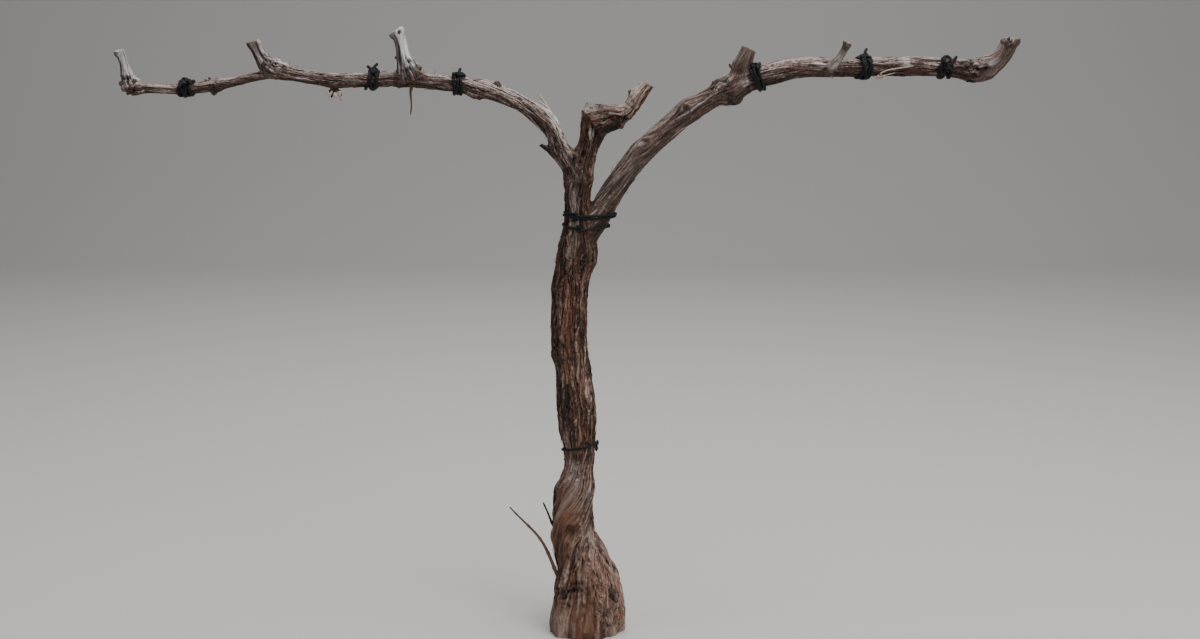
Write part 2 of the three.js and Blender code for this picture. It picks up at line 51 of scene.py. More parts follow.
# bearing, back and girth are at even steps along each limb. ribs are (count, depth, the degrees they have
# wound round it at even steps), lumps (share of the length, reach, height, side), and cut (slant, side).
LIMBS = {
    "trunk": dict(
        wood="trunk", length=610, bearing=[90, 94, 105, 90, 80, 91, 95, 97, 90, 86, 82, 91, 81],
        back=[0, 4, 0, -6, -7, 0, 6, 6, 5, 0, -6, -2, -2],
        girth=[1.95, 1.8, 1.45, 1.15, 1.05, 0.85, 1.05, 0.95, 1, 0.95, 0.95, 0.65, 0.75],
        ribs=(5, 0.1, [0, 4, 20, 75, 140, 165, 170, 174, 178, 180, 176, 172, 170]),
        lumps=[
            (0.06, 45, 7, 330), (0.02, 28, 5, 215), (0.16, 24, -4, 200), (0.235, 11, -3.5, 270),
            (0.365, 16, -3, None), (0.45, 17, 4.5, 190), (0.62, 12, 2.5, 215), (0.66, 20, 3.5, 100),
            (0.745, 12, 2.5, 205), (0.825, 24, 7, 0), (0.875, 12, -2, 90),
        ],
    ),
    "right_arm": dict(
        wood="arm", on=("trunk", 0.845), length=265, bearing=[51, 59, 48, 40, 27], back=[6, 4, 1, -3, -6],
        girth=[1.6, 1.3, 1.25, 1.3, 1.2], ribs=(4, 0.07, [0, 35, 65]),
        lumps=[(0.52, 12, 2.5, 180), (0.56, 11, 2, 250), (0.83, 14, 3, 180), (0.84, 12, 2, 260)],
    ),
    "right_cordon": dict(
        wood="arm", after="right_arm", length=312, bearing=[27, 16, 0, 2, -1, -2],
        back=[-6, 0, 4, 2, -1, -3], girth=[1.2, 1.2, 1, 1, 1.05, 0.9], ribs=(4, 0.07, [0, 30, 25, 30]),
        lumps=[
            (0.01, 11, 3, 180), (0.04, 15, 5.5, 0), (0.045, 15, 2, None), (0.38, 22, 1.8, 200),
            (0.99, 14, 3.5, 10),
        ],
    ),
    "right_end_spur": dict(
        wood="spur", after="right_cordon", length=70, bearing=[-2, 20, 53, 72], back=[-3, -6, -5, -5],
        girth=[1.65, 1.5, 1.3, 1.2], ribs=(3, 0.06, [0, 10]),
        lumps=[(0.16, 15, 5.5, 0), (0.36, 5, 1.4, None)], cut=(0.3, 0),
    ),
    "right_shoulder_spur": dict(
        wood="spur", on=("right_cordon", 0.068), length=49, bearing=[71, 70, 71], back=[-4, -2, 3],
        girth=[1.5, 1.45, 1.2], ribs=(3, 0.05, [0, 10]), lumps=[(0.55, 6, 2.2, 180)], cut=(0.1, 180),
    ),
    "right_thin_spur": dict(
        wood="spur", on=("right_cordon", 0.45), length=46, bearing=[44, 58, 69], back=[-64, -26, -4],
        girth=[0.95, 0.55, 0.5], ribs=(3, 0.04, [0, 0]), lumps=[(0.97, 5, 1.6, None)], cut=(0.1, 180),
    ),
    "left_arm": dict(
        wood="arm", on=("trunk", 0.979), length=145, bearing=[101, 127, 113, 133, 148, 161],
        back=[-4, -4, -7, -5, -1, 4], girth=[1.55, 1.2, 0.9, 1, 0.9, 0.9], ribs=(4, 0.07, [0, 30]),
        lumps=[(0.34, 12, 3, 200)],
    ),
    "left_inner_cordon": dict(
        wood="arm", after="left_arm", length=270, bearing=[161, 169, 175, 179, 181, 174, 167],
        back=[4, 3, 0, -2, -4, -2, 2], girth=[0.85, 0.85, 0.8, 0.75, 0.8, 0.7, 0.8],
        ribs=(4, 0.07, [0, 50]),
        lumps=[(0.14, 9, 4, 180), (0.095, 12, 2.5, 0), (0.46, 16, 2, 0), (0.79, 12, 2.5, 180)],
    ),
    "left_end_spur_base": dict(
        wood="spur", after="left_inner_cordon", length=32, bearing=[167, 163, 120], back=[2, -5, -8],
        girth=[1.25, 1.45, 1.4], ribs=(3, 0.07, [0, 10]), lumps=[(0.55, 9, 2, 0)],
    ),
    "left_end_spur_tip": dict(
        wood="spur", after="left_end_spur_base", length=29, bearing=[120, 114, 114], back=[-8, -9, -7],
        girth=[1.2, 0.95, 1.05], ribs=(3, 0.06, [0, 10]), cut=(0.1, 180),
    ),
    "left_inner_spur": dict(
        wood="spur", on=("left_inner_cordon", 0.436), length=65, bearing=[114, 100, 103],
        back=[-8, -4, -2], girth=[1.2, 0.95, 0.9], ribs=(3, 0.07, [0, 10]),
        lumps=[(0, 24, 8.5, 0), (0, 19, 8, 180), (0.34, 8, 1.5, 0), (0.92, 5, 1.4, 180)], cut=(0.3, 0),
    ),
    "left_outer_cordon": dict(
        wood="arm", on=("left_inner_cordon", 0.98), length=205, bearing=[179, 192, 189, 179, 178],
        back=[4, 3, 2, -4, -3], girth=[0.5, 0.5, 0.6, 0.55, 0.5], ribs=(3, 0.05, [0, 60]),
        lumps=[(0.46, 5, 2, 190), (0.48, 5, 1.2, 10), (0.97, 10, 3.5, None)],
    ),
    "left_outer_spur": dict(
        wood="spur", on=("left_outer_cordon", 0.977), length=48, bearing=[114, 100, 111],
        back=[0, -5, -10], girth=[0.9, 0.6, 0.7], ribs=(3, 0.06, [0, 10]),
        lumps=[(0.05, 12, 6, 0), (0.05, 9, 6, 180), (0.44, 6, 1.6, None)], cut=(0.2, 180),
    ),
    "head_stub": dict(
        wood="arm", on=("trunk", 0.99), length=90, bearing=[81, 70, 86, 72], back=[3, 5, 3, 3],
        girth=[1.35, 1.2, 1.1, 0.95], ribs=(5, 0.1, [0, 20]),
    ),
    "head_branch": dict(
        wood="arm", on=("head_stub", 0.72), length=45, bearing=[32, 14, 12], back=[14, 11, 5],
        girth=[1.85, 1.5, 1.15], ribs=(3, 0.08, [0, 10]),
    ),
    "head_spur": dict(
        wood="spur", on=("head_branch", 0.862), length=54, bearing=[17, 53, 54, 50], back=[5, 6, 6, 5],
        girth=[1.35, 1.2, 1.2, 1], ribs=(3, 0.05, [0, 10]), lumps=[(0.62, 6, 2, 180)], cut=(0.2, 0),
    ),
    "fork_snag": dict(
        wood="shoot", on=("left_arm", 0.28), length=32, bearing=[189, 154, 146], back=[-10, -20, -10],
        girth=[3.4, 2.4, 1.3], ribs=(3, 0.08, [0, 10]),
    ),
    "fruit_stalk_stub": dict(
        wood="shoot", on=("left_inner_cordon", 0.79), length=27, bearing=[251, 276, 288],
        back=[-14, -10, 0], girth=[2.4, 1.9, 3, 3.4], ribs=(3, 0.12, [0, 10]),
    ),
    "tendril_stub": dict(
        wood="shoot", on=("left_inner_cordon", 0.43), length=42, bearing=[262, 256, 276, 268, 258],
        back=[-12, -6, 4], girth=[1.3, 1, 0.7, 0.5], ribs=(3, 0.04, [0, 10]),
    ),
    "foot_shoot_long": dict(
        wood="shoot", on=("trunk", 0.085), length=168, bearing=[182, 117, 111, 130, 131],
        back=[-12, -12, -12, -12, -5], girth=[2.3, 1.7, 1.3, 1, 0.6], ribs=(3, 0.05, [0, 60]),
    ),
    "foot_shoot_short": dict(
        wood="shoot", on=("trunk", 0.215), length=64, bearing=[200, 119, 114], back=[14, 8, 0],
        girth=[1.5, 1.1, 0.6], ribs=(3, 0.05, [0, 60]),
    ),
}


def along(values, t):
    """The value at share t of a list that holds it at even steps: a Catmull-Rom spline."""
    values = np.asarray(values, float)
    last = len(values) - 1
    place = np.clip(t, 0, 1) * last
    i = np.minimum(np.floor(place).astype(int), last - 1)
    f = place - i
    a, b, c, d = (values[np.clip(i + k, 0, last)] for k in (-1, 0, 1, 2))
    return b + 0.5 * f * (c - a + f * (2 * a - 5 * b + 4 * c - d + f * (3 * (b - c) + d - a)))


def heading(limb, t):
    """The direction of growth at each share in t."""
    bearing = np.radians(along(limb["bearing"], t))
    back = np.radians(along(limb["back"], t))
    return np.stack([np.cos(bearing) * np.cos(back), np.sin(back), np.sin(bearing) * np.cos(back)], -1)


def walk(limb):
    """Lays down a limb's centreline, with a point at each stride."""
    rings = max(3, math.ceil(limb["length"] / STEP[limb["wood"]]))
    strides = rings * STRIDES_PER_RING
    if "after" in limb:
        before = LIMBS[limb["after"]]
        start = before["line"][-1] + GAP * heading(before, 1.0)
    elif "on" in limb:
        start = point_on(LIMBS[limb["on"][0]], limb["on"][1])
    else:
        start = np.zeros(3)
    moves = heading(limb, (np.arange(strides) + 0.5) / strides) * limb["length"] / strides
    limb["line"] = np.vstack([start, start + np.cumsum(moves, 0)])


def point_on(limb, t):
    place = t * (len(limb["line"]) - 1)
    i = min(int(place), len(limb["line"]) - 2)
    return limb["line"][i] + (place - i) * (limb["line"][i + 1] - limb["line"][i])


def radius_at(limb, t, angle):
    """A limb's smooth radius at shares t and angles round it, with its ribs and its lumps."""
    count, depth, wound = limb["ribs"]
    sway = SWAY_SIZE * np.sin(2 * np.pi * t * limb["length"] / SWAY_RUN)
    turned = angle - np.radians(along(wound, t)) + sway
    ribs = MAIN_RIBS * np.cos(count * turned + limb["length"])
    ribs = ribs + SMALL_RIBS * np.cos((2 * count + 1) * turned + 2 * limb["length"])
    radius = RADIUS[limb["wood"]] * along(limb["girth"], t) * (1 + depth * ribs)
    for share, reach, height, side in limb.get("lumps", []):
        round_it = 1 if side is None else np.maximum(0, np.cos(angle - math.radians(side)))
        radius = radius + height * bell((t - share) * limb["length"] / reach) * round_it
    return radius


def unit(vectors):
    return vectors / np.linalg.norm(vectors, axis=-1, keepdims=True)


def bell(away):
    """1 at no distance, and falling to 0 on both sides."""
    return np.exp(-(away**2))


def spoke(right, back, angle):
    """The direction at each angle, turned from right towards back."""
    return right * np.cos(angle)[..., None] + back * np.sin(angle)[..., None]


def tube_place(radius, angle, ahead):
    """Coordinates on a tube, with no seam round it."""
    return np.stack([radius * np.cos(angle), radius * np.sin(angle), ahead], -1)


def off_side(angle, side):
    """How far an angle is from a side in degrees, as the smallest turn in radians."""
    return (angle - np.radians(side) + np.pi) % (2 * np.pi) - np.pi


# A stem is a run of limbs that grow on from each other, dressed as one piece of wood
COLUMNS = 96
BATCH = 4096
JOIN_REACH = 9
JOIN_SPREAD = 1.5 * JOIN_REACH


class Stem:
    """A run of limbs as one curve: s is the distance along it, and angle turns from its right to its back."""

    def __init__(self, name, parts):
        self.name = name
        angles = np.arange(COLUMNS) * 2 * np.pi / COLUMNS
        centres, headings, radii, starts = [], [], [], []
        for limb_name, end in parts:
            limb = LIMBS[limb_name]
            whole = len(limb["line"]) - 1
            first, last = min(len(centres), 1), round(end * whole)
            t = np.arange(first, last + 1) / whole
            starts.append(sum(len(part) for part in centres))
            centres.append(limb["line"][first : last + 1])
            headings.append(heading(limb, t))
            radii.append(radius_at(limb, t[:, None], angles[None, :]))
        self.centre = np.concatenate(centres)
        steps = np.linalg.norm(np.diff(self.centre, axis=0), axis=1)
        self.s = np.concatenate([[0], np.cumsum(steps)])
        self.length = self.s[-1]
        self.forward = unit(np.concatenate(headings))
        self.back = unit(np.array([0.0, 1.0, 0.0]) - self.forward * self.forward[:, 1:2])
        self.right = np.cross(self.back, self.forward)
        self.radii = np.concatenate(radii)
        for join in starts[1:]:
            self.soften(join)
        self.cut = LIMBS[parts[-1][0]].get("cut")
        self.last_start = self.s[starts[-1]]

    def soften(self, join):
        """Evens out the radius where one limb goes on from another."""
        away = np.abs(self.s - self.s[join])
        near = np.flatnonzero(away < 2 * JOIN_SPREAD)
        for i, old in [(i, self.radii[i].copy()) for i in near]:
            share = bell(away[i] / JOIN_SPREAD)
            weight = bell((self.s - self.s[i]) / JOIN_REACH)[near]
            even = (self.radii[near] * weight[:, None]).sum(0) / weight.sum()
            self.radii[i] = old + share * (even - old)

    def ring_before(self, s):
        """The ring before each distance in s, and the share of the way from it to the next."""
        place = np.interp(s, self.s, np.arange(len(self.s)))
        i = np.minimum(place.astype(int), len(self.s) - 2)
        return i, place - i

    def at(self, s):
        """The centre and the three directions at distances s."""
        i, f = self.ring_before(s)
        f = f[..., None]
        parts = [self.centre, self.forward, self.back, self.right]
        centre, forward, back, right = (part[i] * (1 - f) + part[i + 1] * f for part in parts)
        return centre, unit(forward), unit(back), unit(right)

    def radius(self, s, angle):
        """The smooth radius at distances s and angles."""
        i, f = self.ring_before(s)
        column = (angle / (2 * np.pi) % 1) * COLUMNS
        j = column.astype(int) % COLUMNS
        g = column - np.floor(column)
        k = (j + 1) % COLUMNS
        low = self.radii[i, j] * (1 - g) + self.radii[i, k] * g
        high = self.radii[i + 1, j] * (1 - g) + self.radii[i + 1, k] * g
        return low * (1 - f) + high * f

    def outward(self, s, angle):
        """The direction that leads straight out of the stem at distances s and angles."""
        _, _, back, right = self.at(s)
        return spoke(right, back, angle)

    def point(self, s, angle, rho):
        """The points at distances s and angles that lie rho away from the stem's centre."""
        return self.at(s)[0] + rho[..., None] * self.outward(s, angle)

    def locate(self, points):
        """Where points lie on the stem: s, angle, and the distance outside its smooth surface."""
        nearest = np.empty(len(points), int)
        for first in range(0, len(points), BATCH):
            some = points[first : first + BATCH]
            away = ((some[:, None, :] - self.centre[None, :, :]) ** 2).sum(-1)
            nearest[first : first + BATCH] = away.argmin(1)
        offset = points - self.centre[nearest]
        ahead = (offset * self.forward[nearest]).sum(1)
        s = self.s[nearest] + ahead
        x = (offset * self.right[nearest]).sum(1)
        y = (offset * self.back[nearest]).sum(1)
        angle = np.arctan2(y, x)
        outside = np.hypot(x, y) - self.radius(np.clip(s, 0, self.length), angle)
        past = np.maximum(np.maximum(-s, s - self.length), 0)
        outside = np.where(past > 0, np.hypot(np.maximum(outside, 0), past), outside)
        return s, angle, outside


for limb in LIMBS.values():
    walk(limb)

# Bark styles. coarse scales the width of the strips, and the rest are heights of its layers in millimetres
OLD = dict(coarse=1.0, broad=1.0, strip=1.0, gap=1.9, layer=0.9, fibre=0.4, crumb=0.55, fold=2.0)
ARM = dict(coarse=0.72, broad=0.7, strip=0.5, gap=1.0, layer=0.5, fibre=0.25, crumb=0.3, fold=1.3)
SPUR = dict(coarse=0.55, broad=0.5, strip=0.25, gap=0.5, layer=0.25, fibre=0.12, crumb=0.2, fold=0.5)

# Each stem's bark, at even steps along it: rough is how shaggy it is, twist how far its strips have wound
# round in degrees, grey how weathered it is, and smooth how much of it is bare wood.
DRESS = {
    "trunk": dict(
        style=OLD, rough=[0.75, 0.9, 0.9, 0.9, 1, 1, 1, 1, 1, 1, 1, 1, 1, 1, 1],
        twist=LIMBS["trunk"]["ribs"][2] + [170, 170],
        grey=[0.5, 0.6, 0.6, 0.6, 0.6, 0.4, 0.35, 0.3, 0.3, 0.35, 0.35, 0.3, 0.35, 0.3, 0.35],
        smooth=[0, 0],
    ),
    "right": dict(
        style=ARM, rough=[1.2, 1, 0.85, 0.8, 0.8, 0.9, 0.9, 0.8, 0.8, 0.8, 0.9, 1.1, 1.3, 0.9, 0.7],
        twist=[0, 20, 45, 60, 80, 90, 95, 90, 85, 90, 95, 95, 95, 95, 95],
        grey=[0.45, 0.45, 0.45, 0.45, 0.5, 0.5, 0.5, 0.55, 0.55, 0.55, 0.6, 0.55, 0.45, 0.6, 0.75],
        smooth=[0, 0.2, 0.4, 0.45, 0.4, 0.3, 0.2, 0, 0, 0, 0, 0, 0.1, 0.5, 0.6],
    ),
    "left": dict(
        style=ARM, rough=[1.3, 1.2, 1.1, 1, 1, 0.9, 0.9, 0.9, 0.9, 1.2, 0.8],
        twist=[0, 15, 30, 40, 60, 70, 80, 85, 90, 90, 90],
        grey=[0.55, 0.75, 0.9, 0.9, 0.75, 0.65, 0.6, 0.6, 0.65, 0.9, 1.2],
        smooth=[0, 0, 0, 0, 0, 0, 0, 0, 0, 0.3, 0.7],
    ),
    "outer": dict(
        style=ARM, rough=[0.6, 0.5, 0.6, 0.6, 1.1], twist=[0, 30, 60, 80, 90],
        grey=[0.6, 0.55, 0.55, 0.6, 0.7], smooth=[0.1, 0.1, 0.1, 0.1, 0],
    ),
    "outer_spur": dict(
        style=SPUR, rough=[3, 1, 0.4], twist=[0, 20], grey=[0.7, 0.8, 0.9], smooth=[0, 0.6, 0.8],
    ),
    "inner_spur": dict(
        style=SPUR, rough=[3, 1.2, 0.6], twist=[0, 20], grey=[0.1, 0.9, 1.1], smooth=[0, 0.4, 0.5],
    ),
    "shoulder_spur": dict(
        style=SPUR, rough=[1.5, 0.4], twist=[0, 10], grey=[0.55, 0.65], smooth=[0.4, 0.8],
    ),
    "thin_spur": dict(style=SPUR, rough=[1, 0.5], twist=[0, 10], grey=[0.6, 0.7], smooth=[0.8, 0.9]),
    "head": dict(
        style=SPUR, rough=[3, 2, 1, 1], twist=[0, 20], grey=[0.35, 0.6, 0.95, 1.05], smooth=[0, 0, 0, 0],
    ),
    "snag": dict(style=ARM, rough=[1, 1], twist=[0, 20], grey=[0.4, 0.3], smooth=[0, 0]),
}

# Knots, warts and hollows: (distance, side, reach along, reach round, height, darkness) in millimetres. The
# darkness is painted shade in hollows and creases, and on knots and warts their own dark colour
MARKS = {
    "trunk": [
        (143, 268, 9, 8, -6, 0.9), (124, 285, 10, 6, -2.5, 0.6), (58, 222, 8, 14, -5, 0.95),
        (63, 240, 4, 14, -4, 1.2), (72, 262, 4, 8, -2.5, 0.8), (76, 240, 7, 14, 2.2, 0),
        (45, 318, 14, 5, -4, 0.8), (70, 300, 9, 4, -2.5, 0.6), (105, 338, 22, 3, -3, 0.8),
        (100, 345, 18, 6, 3.5, 0), (60, 335, 26, 6, 3, 0), (20, 322, 14, 5, -3, 0.6),
        (455, 206, 5, 5, 1.5, 0.75), (444, 215, 6, 5, -2, 0.9), (379, 225, 5, 5, 1.5, 0.7),
        (388, 212, 5, 5, -2, 0.9), (329, 262, 12, 5, -1.5, 0.7), (520, 300, 12, 8, 2.5, 0),
        (526, 330, 5, 5, -2.5, 0.8), (498, 338, 10, 8, 2, 0), (318, 300, 5, 9, 1.5, 0),
        (612, 250, 20, 5, -5, 1), (640, 245, 24, 4, -3, 0.9), (670, 300, 10, 5, -3, 0.8),
    ],
    "right": [
        (580, 232, 4, 4, -2.4, 0.95), (591, 205, 5, 4, -1.6, 0.9), (598, 286, 8, 2.5, -2.2, 0.95),
        (588, 262, 5, 5, 1.6, 0), (603, 262, 5, 5, 1.4, 0), (575, 270, 3, 3, -1.6, 0.9),
        (584, 300, 4, 4, -1.6, 0.9), (637, 270, 2.5, 30, -0.9, 0.6), (643, 270, 3, 30, 1.6, 0.25),
        (642, 250, 3, 3, -1.6, 0.9), (154, 244, 5, 4, -3, 0.95), (154, 244, 11, 8, 2.4, 0),
        (221, 249, 4, 3.5, -2.4, 0.95), (221, 249, 9, 7, 2, 0), (262, 195, 6, 5, 2, 0.5),
        (270, 205, 4, 4, 2, 0.4), (277, 215, 4, 4, -2, 0.8), (280, 330, 9, 5, 2, 0.6),
        (293, 252, 10, 8, 3.2, 0), (287, 285, 10, 8, 3.4, 0), (281, 318, 9, 8, 2.6, 0),
        (279, 245, 3, 8, -2, 0.8), (274, 280, 3, 8, -2, 0.9), (306, 262, 3, 9, -2.2, 0.7),
        (299, 298, 3, 9, -2.2, 0.8), (268, 262, 5, 3, -1.6, 0.3), (405, 270, 12, 7, 2.6, 0),
        (399, 240, 4, 4, -2, 0.8), (413, 300, 4, 3, -2, 0.8), (500, 262, 8, 6, 1.6, 0),
        (506, 255, 3, 3, -1.4, 0.7), (350, 215, 14, 6, 1.5, 0), (318, 330, 20, 3, -1.4, 0.7),
    ],
    "left": [
        (28, 290, 8, 4, -3, 0.9), (45, 225, 6, 6, 2, 0.4), (60, 250, 20, 3, -1.4, 0.7),
        (88, 10, 12, 5, 2, 0), (122, 285, 9, 6, 1.6, 0), (128, 290, 3, 3, -1.5, 0.8),
        (168, 262, 8, 6, 1.6, 0), (172, 255, 3, 3, -1.4, 0.7), (262, 275, 8, 8, 1.5, 0),
        (272, 300, 4, 3, -1.4, 0.8), (360, 250, 8, 6, 1.6, 0), (366, 240, 3, 3, -1.5, 0.8),
        (425, 300, 8, 7, 2, 0), (432, 290, 4, 4, -2, 0.9), (440, 320, 4, 4, -2, 0.9),
        (446, 300, 5, 5, 1.8, 0), (418, 270, 4, 4, -1.5, 0.8), (472, 270, 3.5, 40, 1, 0),
        (470, 330, 4, 4, 1.2, 0),
    ],
    "outer": [
        (94, 20, 5, 4, 2, 0.8), (100, 180, 4, 4, 2.2, 0.9), (190, 260, 7, 5, 1.5, 0),
        (184, 285, 4, 3, -1.6, 0.8), (198, 250, 4, 4, -2, 0.9), (193, 230, 4, 4, 1.5, 0.2),
    ],
    "outer_spur": [
        (6, 250, 4, 5, 1.8, 0), (10, 285, 3, 3, -2, 0.9), (14, 230, 3, 3, -1.5, 0.8),
        (17, 270, 2.5, 12, 1.5, 0), (12, 285, 2, 5, -1.6, 1.6), (44, 270, 3, 40, 0.8, 0),
        (43, 215, 3, 4, 1.2, 0.3),
    ],
    "inner_spur": [
        (9, 300, 4, 6, 2, 0), (8, 240, 5, 5, 2.5, 0.2), (14, 270, 2, 20, -1.1, 0.6),
        (16, 285, 3, 3, -1.5, 0.9), (24, 306, 2.6, 2.4, -2, 1.8), (60, 286, 2.8, 2.8, -2, 1.9),
        (38, 240, 26, 2, -1.4, 0.9), (13, 320, 10, 2, 1.6, 0), (13, 300, 9, 2, -1.2, 0.6),
        (13, 268, 10, 2, -1.2, 0.6), (12, 284, 9, 2.5, 1.6, 0), (62, 250, 5, 5, 1.6, 0),
        (32, 220, 4, 4, 1.4, 0), (58, 200, 5, 4, 1.8, 0.2), (60, 270, 4, 40, 1.1, 0),
        (57, 318, 4, 4, 1.2, 0), (3, 310, 4, 4, -2, 0.8), (2, 225, 4, 4, -2, 0.8),
    ],
    "shoulder_spur": [(18, 195, 3, 3, 1.6, 0.4), (22, 270, 1.6, 16, 0.6, 0.25), (10, 262, 6, 2, -0.7, 0.5)],
    "thin_spur": [(8, 260, 3, 3, 1.2, 0.2)],
    "head": [
        (70, 205, 5, 5, 2.2, 0.1), (74, 215, 2, 2, -1.2, 0.7), (36, 320, 6, 6, 3, 0.3),
        (30, 320, 4, 4, -2, 0.9), (20, 270, 7, 4, -2, 0.8), (50, 350, 7, 4, -2, 0.9),
        (56, 270, 2, 30, -1, 0.5), (62, 250, 3, 3, -1.2, 0.8),
    ],
    "snag": [],
}

# Clusters of small pits: (stem, distance, side, how many, reach, the size of the largest)
PITS = [
    ("right", 586, 255, 22, 15, 3.2), ("right", 640, 250, 5, 6, 2), ("right", 276, 330, 6, 9, 3),
    ("right", 268, 208, 5, 8, 2.6), ("right", 405, 262, 8, 11, 2.4), ("left", 446, 260, 12, 11, 2.6),
    ("left", 438, 312, 12, 12, 3), ("left", 60, 235, 8, 18, 2.6), ("outer", 198, 270, 9, 8, 2.2),
    ("outer", 103, 270, 5, 9, 1.8), ("inner_spur", 8, 270, 9, 9, 2.4), ("outer_spur", 8, 270, 6, 7, 2),
    ("head", 24, 290, 9, 14, 3.4), ("head", 42, 300, 10, 12, 3), ("trunk", 60, 250, 12, 20, 3.4),
    ("trunk", 96, 262, 8, 18, 3), ("trunk", 24, 300, 8, 18, 3.6), ("trunk", 622, 258, 12, 26, 3.6),
    ("trunk", 66, 335, 16, 44, 5), ("trunk", 118, 285, 9, 22, 3.6), ("trunk", 455, 212, 8, 14, 3),
    ("trunk", 380, 220, 8, 14, 3), ("trunk", 676, 235, 7, 16, 3),
]
# A pit is sunk into the bark and painted dark, as painted shade in its hollow
PIT_SIZES = (0.4, 1)
PIT_SCATTER = 0.5
PIT_LENGTH = 1.4
PIT_DEPTH = 0.9
PIT_DARKNESS = 1.1


def pits(middle, side, count, reach, largest, around):
    """A seeded scatter of pits, as marks."""
    dice = np.random.default_rng(round(middle + side))
    for _ in range(count):
        size = largest * dice.uniform(*PIT_SIZES)
        turn = math.degrees(reach * dice.normal(0, PIT_SCATTER) / around)
        s = middle + reach * dice.normal(0, PIT_SCATTER)
        yield (s, side + turn, PIT_LENGTH * size, size, -PIT_DEPTH * size, PIT_DARKNESS)


# Knots that the strips of bark part round: (distance, side, reach in millimetres)
KNOTS = {"trunk": [(143, 268, 15), (58, 226, 20)], "right": [(154, 244, 12), (221, 249, 10)]}

# Areas of one look, as channels of the bark: (distance, side, reach along in millimetres, reach round in
# degrees, strength). A tone adds to what is there, and the others raise it. Some areas are painted light and
# shade: pale areas and raised tones on the right sides of spurs are painted light, and dark areas and lowered
# tones on their left sides painted shade.
AREAS = {
    "trunk": dict(
        smooth=[
            (165, 242, 48, 56, 1), (20, 238, 34, 56, 0.75), (85, 280, 26, 30, 0.6),
            (120, 225, 30, 34, 0.8),
        ],
        pale=[
            (14, 222, 24, 26, 0.15), (165, 325, 60, 14, 0.15), (222, 250, 18, 30, 0.2),
            (560, 255, 60, 22, 0.2), (690, 245, 8, 50, 0.8), (660, 275, 10, 16, 0.5),
        ],
        inner=[
            (26, 275, 26, 20, 0.5), (60, 332, 70, 42, 0.85), (415, 268, 48, 18, 0.95),
            (330, 285, 30, 14, 0.6), (100, 292, 40, 22, 0.6), (40, 300, 34, 40, 0.5),
        ],
        dark=[
            # The long dark area on the trunk's left side (208°) is painted shade
            (58, 226, 5, 24, 0.8), (8, 282, 8, 16, 0.5), (450, 208, 150, 32, 0.6), (290, 225, 40, 30, 0.5),
            (620, 262, 40, 34, 0.5), (664, 330, 34, 50, 0.7), (244, 270, 7, 70, 0.7),
        ],
        # The first tone lightens the foot's right side: painted light
        tone=[(50, 338, 75, 45, 0.75), (215, 280, 40, 70, 0.5), (110, 290, 40, 40, 0.2)],
    ),
    "right": dict(
        inner=[
            (150, 250, 60, 40, 0.4), (300, 265, 30, 40, 0.4), (505, 285, 60, 26, 0.6),
            (420, 290, 40, 20, 0.5), (622, 265, 18, 70, 0.6), (286, 280, 14, 50, 0.6),
        ],
        pale=[
            (500, 225, 8, 30, 0.6), (500, 262, 7, 12, 0.6), (610, 262, 10, 20, 0.4),
            (400, 250, 14, 22, 0.4), (590, 235, 12, 20, 0.5), (299, 268, 5, 22, 0.6),
        ],
        dark=[
            (586, 262, 22, 60, 0.5), (646, 335, 8, 40, 0.7), (598, 288, 14, 12, 0.6),
            (282, 335, 18, 30, 0.6), (330, 320, 26, 30, 0.35), (262, 200, 22, 20, 0.4),
        ],
    ),
    # Round the end spur (430-470), the pale and dark areas are partly painted light on its right and painted
    # shade on its left
    "left": dict(
        pale=[
            (88, 350, 34, 26, 0.7), (150, 30, 60, 50, 0.35), (455, 290, 14, 30, 0.7),
            (462, 326, 14, 20, 1), (432, 335, 18, 22, 0.7),
        ],
        inner=[(60, 265, 40, 30, 0.3), (250, 300, 30, 20, 0.4)],
        dark=[
            (60, 220, 40, 26, 0.4), (458, 292, 20, 12, 1.6), (460, 222, 22, 26, 1.4),
            (440, 295, 12, 16, 0.6), (452, 225, 22, 24, 0.7),
        ],
        tone=[(466, 290, 14, 70, 0.4)],
    ),
    "outer": dict(inner=[(175, 275, 16, 26, 0.5)], dark=[(96, 20, 6, 50, 0.8), (100, 185, 6, 60, 0.9)]),
    # The pale area on the right of this spur is painted light, and the dark one on its left (216°) painted
    # shade
    "outer_spur": dict(
        pale=[(34, 300, 16, 44, 0.8)],
        dark=[(34, 216, 22, 30, 1.2), (12, 300, 3, 24, 1), (46, 250, 3, 50, 0.8)],
        inner=[(2, 290, 8, 60, 0.6)],
    ),
    # The pale area and raised tone on this spur's right are painted light, the dark areas and lowered tone on
    # its left painted shade
    "inner_spur": dict(
        pale=[(46, 296, 27, 42, 1)],
        inner=[(2, 270, 11, 180, 0.9)],
        dark=[
            (40, 244, 26, 9, 1.5), (46, 222, 24, 24, 1), (20, 336, 20, 8, 0.8), (62, 220, 4, 40, 0.8),
            (60, 330, 5, 20, 0.6),
        ],
        tone=[(42, 200, 40, 36, -0.4), (46, 290, 30, 50, 0.35)],
    ),
    # The pale right edge of this spur is painted light, and its dark left side (215°) painted shade
    "shoulder_spur": dict(
        pale=[(26, 338, 26, 9, 1)],
        dark=[(30, 300, 12, 7, 0.5), (36, 215, 14, 14, 0.6)],
        tone=[(26, 265, 24, 40, -0.2)],
    ),
    "thin_spur": dict(pale=[(20, 270, 12, 60, 0.5)], dark=[(38, 270, 3, 180, 0.9)]),
    "head": dict(
        dark=[(22, 300, 20, 120, 0.7), (66, 190, 10, 24, 0.7), (90, 330, 5, 70, 0.5)],
        pale=[(41, 340, 4, 14, 0.7), (70, 230, 20, 30, 0.35)],
        tone=[(34, 315, 14, 60, -0.3)],
    ),
    "snag": dict(dark=[(16, 270, 30, 180, 0.5)]),
}

